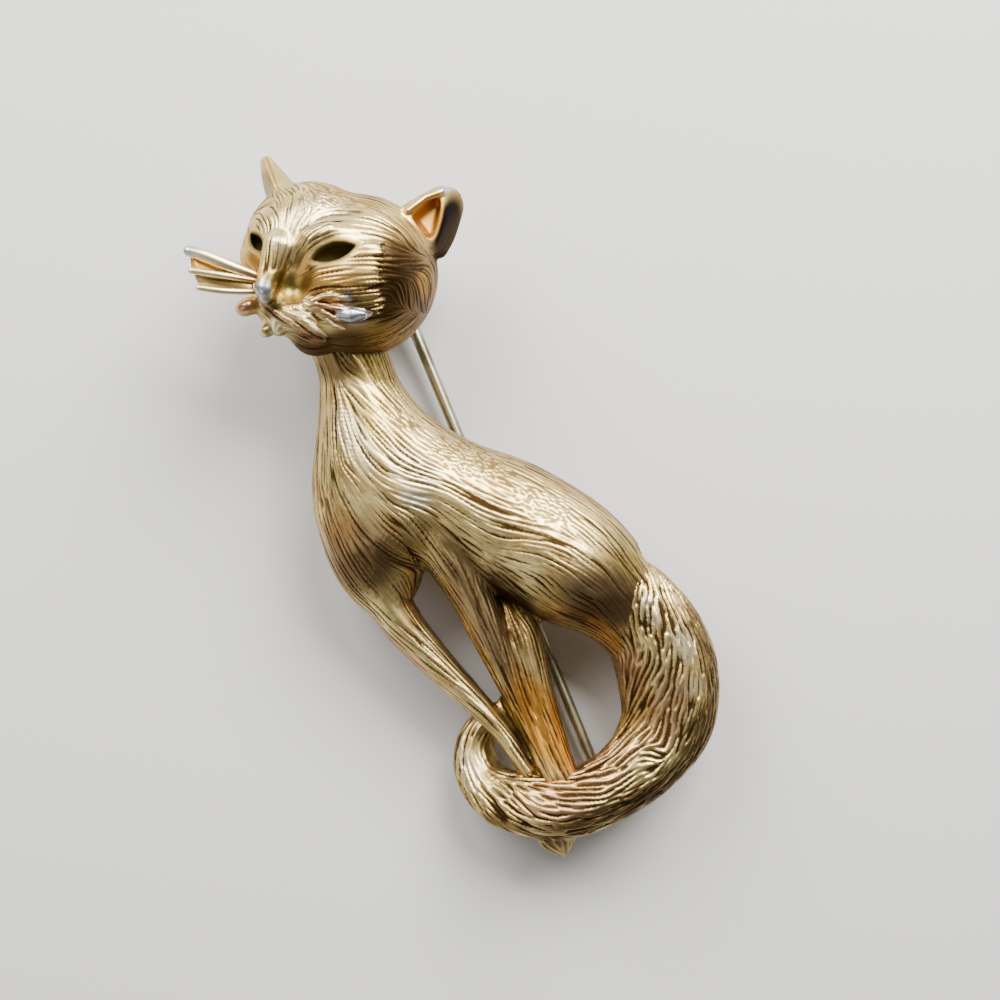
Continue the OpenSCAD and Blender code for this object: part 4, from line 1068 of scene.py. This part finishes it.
# A painted highlight over the far whiskers, the white metal where the upper one's end is rubbed through,
# and a rose tone at their roots
WHISKER_TONES_AND_HIGHLIGHT = [
    (-11.5, 22.5, 2.6, 3.2, 0, PAINTED_HIGHLIGHT, 0.7), (-13.0, 24.7, 1.2, 0.8, 0, WORN, 0.9),
    (-9.4, 20.7, 1.2, 0.8, -35, ROSE, 0.6)]
give_mark(swept_mesh, "tint", stains_and_painted_light(at, WHISKER_TONES_AND_HIGHLIGHT))
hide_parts("figure")
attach(whiskers, "casting")

# Joint ears and catch
# The findings behind the casting: two round ears that hold the stem's rivet, on a plate, and a
# strip bent into a hook for the stem's point. They are sheet brass, soldered on, then plated.
STEM_X, STEM_Z, HINGE_Y, CATCH_Y = 0.52, 1.7, -26.7, 17.1
JOINT_R, LUG_T, JOINT_W, PLATE_Z = 1.7, 0.7, 3.06, 1.28
RIVET_HOLE_D = 0.86
CATCH_L, CATCH_T, MOUTH_UP = 1.8, 0.65, 0.75
INTO_CASTING = 1.0
FINE_CELL = 0.07


def cross_rod(x, y, z, d, length):
    """The form of a rod across the stem."""
    low, high = padded_box([x - length / 2, y - d / 2, z - d / 2], [x + length / 2, y + d / 2, z + d / 2])
    return low, high, lambda px, py, pz: np.maximum(np.hypot(py - y, pz - z) - d / 2,
                                                    np.abs(px - x) - length / 2)


def slab(low, high, corner=0.12):
    """The form of a block with rounded edges."""
    middle, half = (np.array(low) + high) / 2, (np.array(high) - low) / 2 - corner

    def away(x, y, z):
        over = [np.abs(p - m) - h for p, m, h in zip((x, y, z), middle, half)]
        out = np.sqrt(sum(np.maximum(o, 0) ** 2 for o in over))
        return out + np.minimum(np.maximum(np.maximum(over[0], over[1]), over[2]), 0) - corner
    return *padded_box(low, high), away


joint_wax = Wax((STEM_X - 3, HINGE_Y - 3, -0.5), (STEM_X + 3, HINGE_Y + 3, 5.6), FINE_CELL)
top = BACK_Z + INTO_CASTING
for side in (-1, 1):
    x = STEM_X + side * (JOINT_W - LUG_T) / 2
    joint_wax.add(cross_rod(x, HINGE_Y, STEM_Z, 2 * JOINT_R, LUG_T))
    joint_wax.add(slab((x - LUG_T / 2, HINGE_Y - JOINT_R, STEM_Z), (x + LUG_T / 2, HINGE_Y + JOINT_R, top)))
joint_wax.add(slab((STEM_X - JOINT_W / 2, HINGE_Y - JOINT_R, STEM_Z + PLATE_Z),
                   (STEM_X + JOINT_W / 2, HINGE_Y + JOINT_R, top)), 0.15)
joint_wax.cut(cross_rod(STEM_X, HINGE_Y, STEM_Z, RIVET_HOLE_D, JOINT_W + 1))

catch_wax = Wax((STEM_X - 3, CATCH_Y - 2, -0.5), (STEM_X + 3, CATCH_Y + 2, 5.6), FINE_CELL)


def hook(x, y, z):
    """A strip bent round under the stem, open on the side of the chest."""
    u, w = x - STEM_X, z - STEM_Z
    ring = np.abs(np.hypot(u, w) - (JOINT_R - CATCH_T / 2)) - CATCH_T / 2
    gap = np.maximum(u, np.abs(w - MOUTH_UP * JOINT_R) - JOINT_R)
    post = np.maximum(np.maximum(-u, u - JOINT_R), np.maximum(-w, w - (top - STEM_Z)))
    post = np.maximum(post, (JOINT_R - CATCH_T) - np.hypot(u, w))
    strip = np.minimum(np.maximum(ring, -gap), post)
    return np.maximum(strip, np.abs(y - CATCH_Y) - CATCH_L / 2)


catch_wax.add(((-9, 0, -2), (9, 30, 9), hook))
for name, wax in (("joint_ears", joint_wax), ("catch", catch_wax)):
    points, faces = skin_mesh(wax)
    still = np.zeros(len(points))
    finding = piece(name, points, faces, {"groove": still, "tint": np.zeros((len(points), 4))}, body_gold)
    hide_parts("figure")
    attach(finding, "casting")

# Pin stem and rivet
# Drawn steel wire, rolled into an eye at one end and ground to a point at the other, and the short
# steel rivet that it turns on. Both are the CAD solids with a worn steel finish.
steel, tree = new_material("drawn_steel_wire")
place = add_node(tree, "ShaderNodeTexCoord").outputs["Object"]
drawn = add_node(tree, "ShaderNodeMapping", {"Vector": place, "Scale": (9000.0, 300.0, 9000.0)})
lines = add_node(tree, "ShaderNodeTexNoise", {"Vector": drawn.outputs[0], "Scale": 1.0, "Detail": 3.0})
cloud = add_node(tree, "ShaderNodeTexNoise", {"Vector": place, "Scale": 400.0, "Detail": 3.0})
dull = value_map(tree, cloud.outputs["Fac"], 0.42, 0.66)
colour = colour_mix(tree, dull, linear("#ABA68C"), linear("#7E775A"))
rough = value_map(tree, lines.outputs["Fac"], 0.3, 0.7, 0.26, 0.46)
bump = add_node(tree, "ShaderNodeBump", {"Strength": 0.3, "Distance": 0.00002,
                                         "Height": lines.outputs["Fac"]})
shader = add_node(tree, "ShaderNodeBsdfPrincipled", {"Base Color": colour, "Metallic": 1.0,
                                                     "Roughness": rough, "Normal": bump.outputs[0]})
add_node(tree, "ShaderNodeOutputMaterial", {"Surface": shader.outputs[0]})
for name in ("pin_stem", "hinge_rivet"):
    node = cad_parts[name]
    node.data.materials.clear()
    node.data.materials.append(steel)

# Floor and light
# A plain pale table and soft studio light: one large softbox up and to the right of the picture,
# a dim one across from it, and a grey room.
floor_mesh = bpy.data.meshes.new("floor")
floor_mesh.from_pydata([(-1, -1, 0), (1, -1, 0), (1, 1, 0), (-1, 1, 0)], [], [(0, 1, 2, 3)])
floor = bpy.data.objects.new("floor", floor_mesh)
bpy.context.scene.collection.objects.link(floor)
floor_material, tree = new_material("pale_table")
paint = add_node(tree, "ShaderNodeBsdfPrincipled", {"Base Color": linear("#D0CECA"), "Roughness": 0.7})
add_node(tree, "ShaderNodeOutputMaterial", {"Surface": paint.outputs[0]})
floor_mesh.materials.append(floor_material)

world = bpy.data.worlds.new("room")
bpy.context.scene.world = world
world.use_nodes = True
world.node_tree.nodes["Background"].inputs[0].default_value = (0.30, 0.30, 0.31, 1)
world.node_tree.nodes["Background"].inputs[1].default_value = 0.55

# Name, place in mm, side in mm, power in watts
LAMPS = (("softbox", (165, 120, 190), 170, 2.25), ("window", (-60, 210, 180), 170, 1.15),
         ("fill", (-220, -60, 160), 200, 0.12))
for name, at, side, power in LAMPS:
    lamp = bpy.data.lights.new(name, "AREA")
    lamp.shape, lamp.size, lamp.energy = "SQUARE", side * MM, power
    lamp_object = bpy.data.objects.new(name, lamp)
    lamp_object.location = [v * MM for v in at]
    lamp_object.rotation_euler = (-Vector(at)).to_track_quat("-Z", "Y").to_euler()
    bpy.context.scene.collection.objects.link(lamp_object)
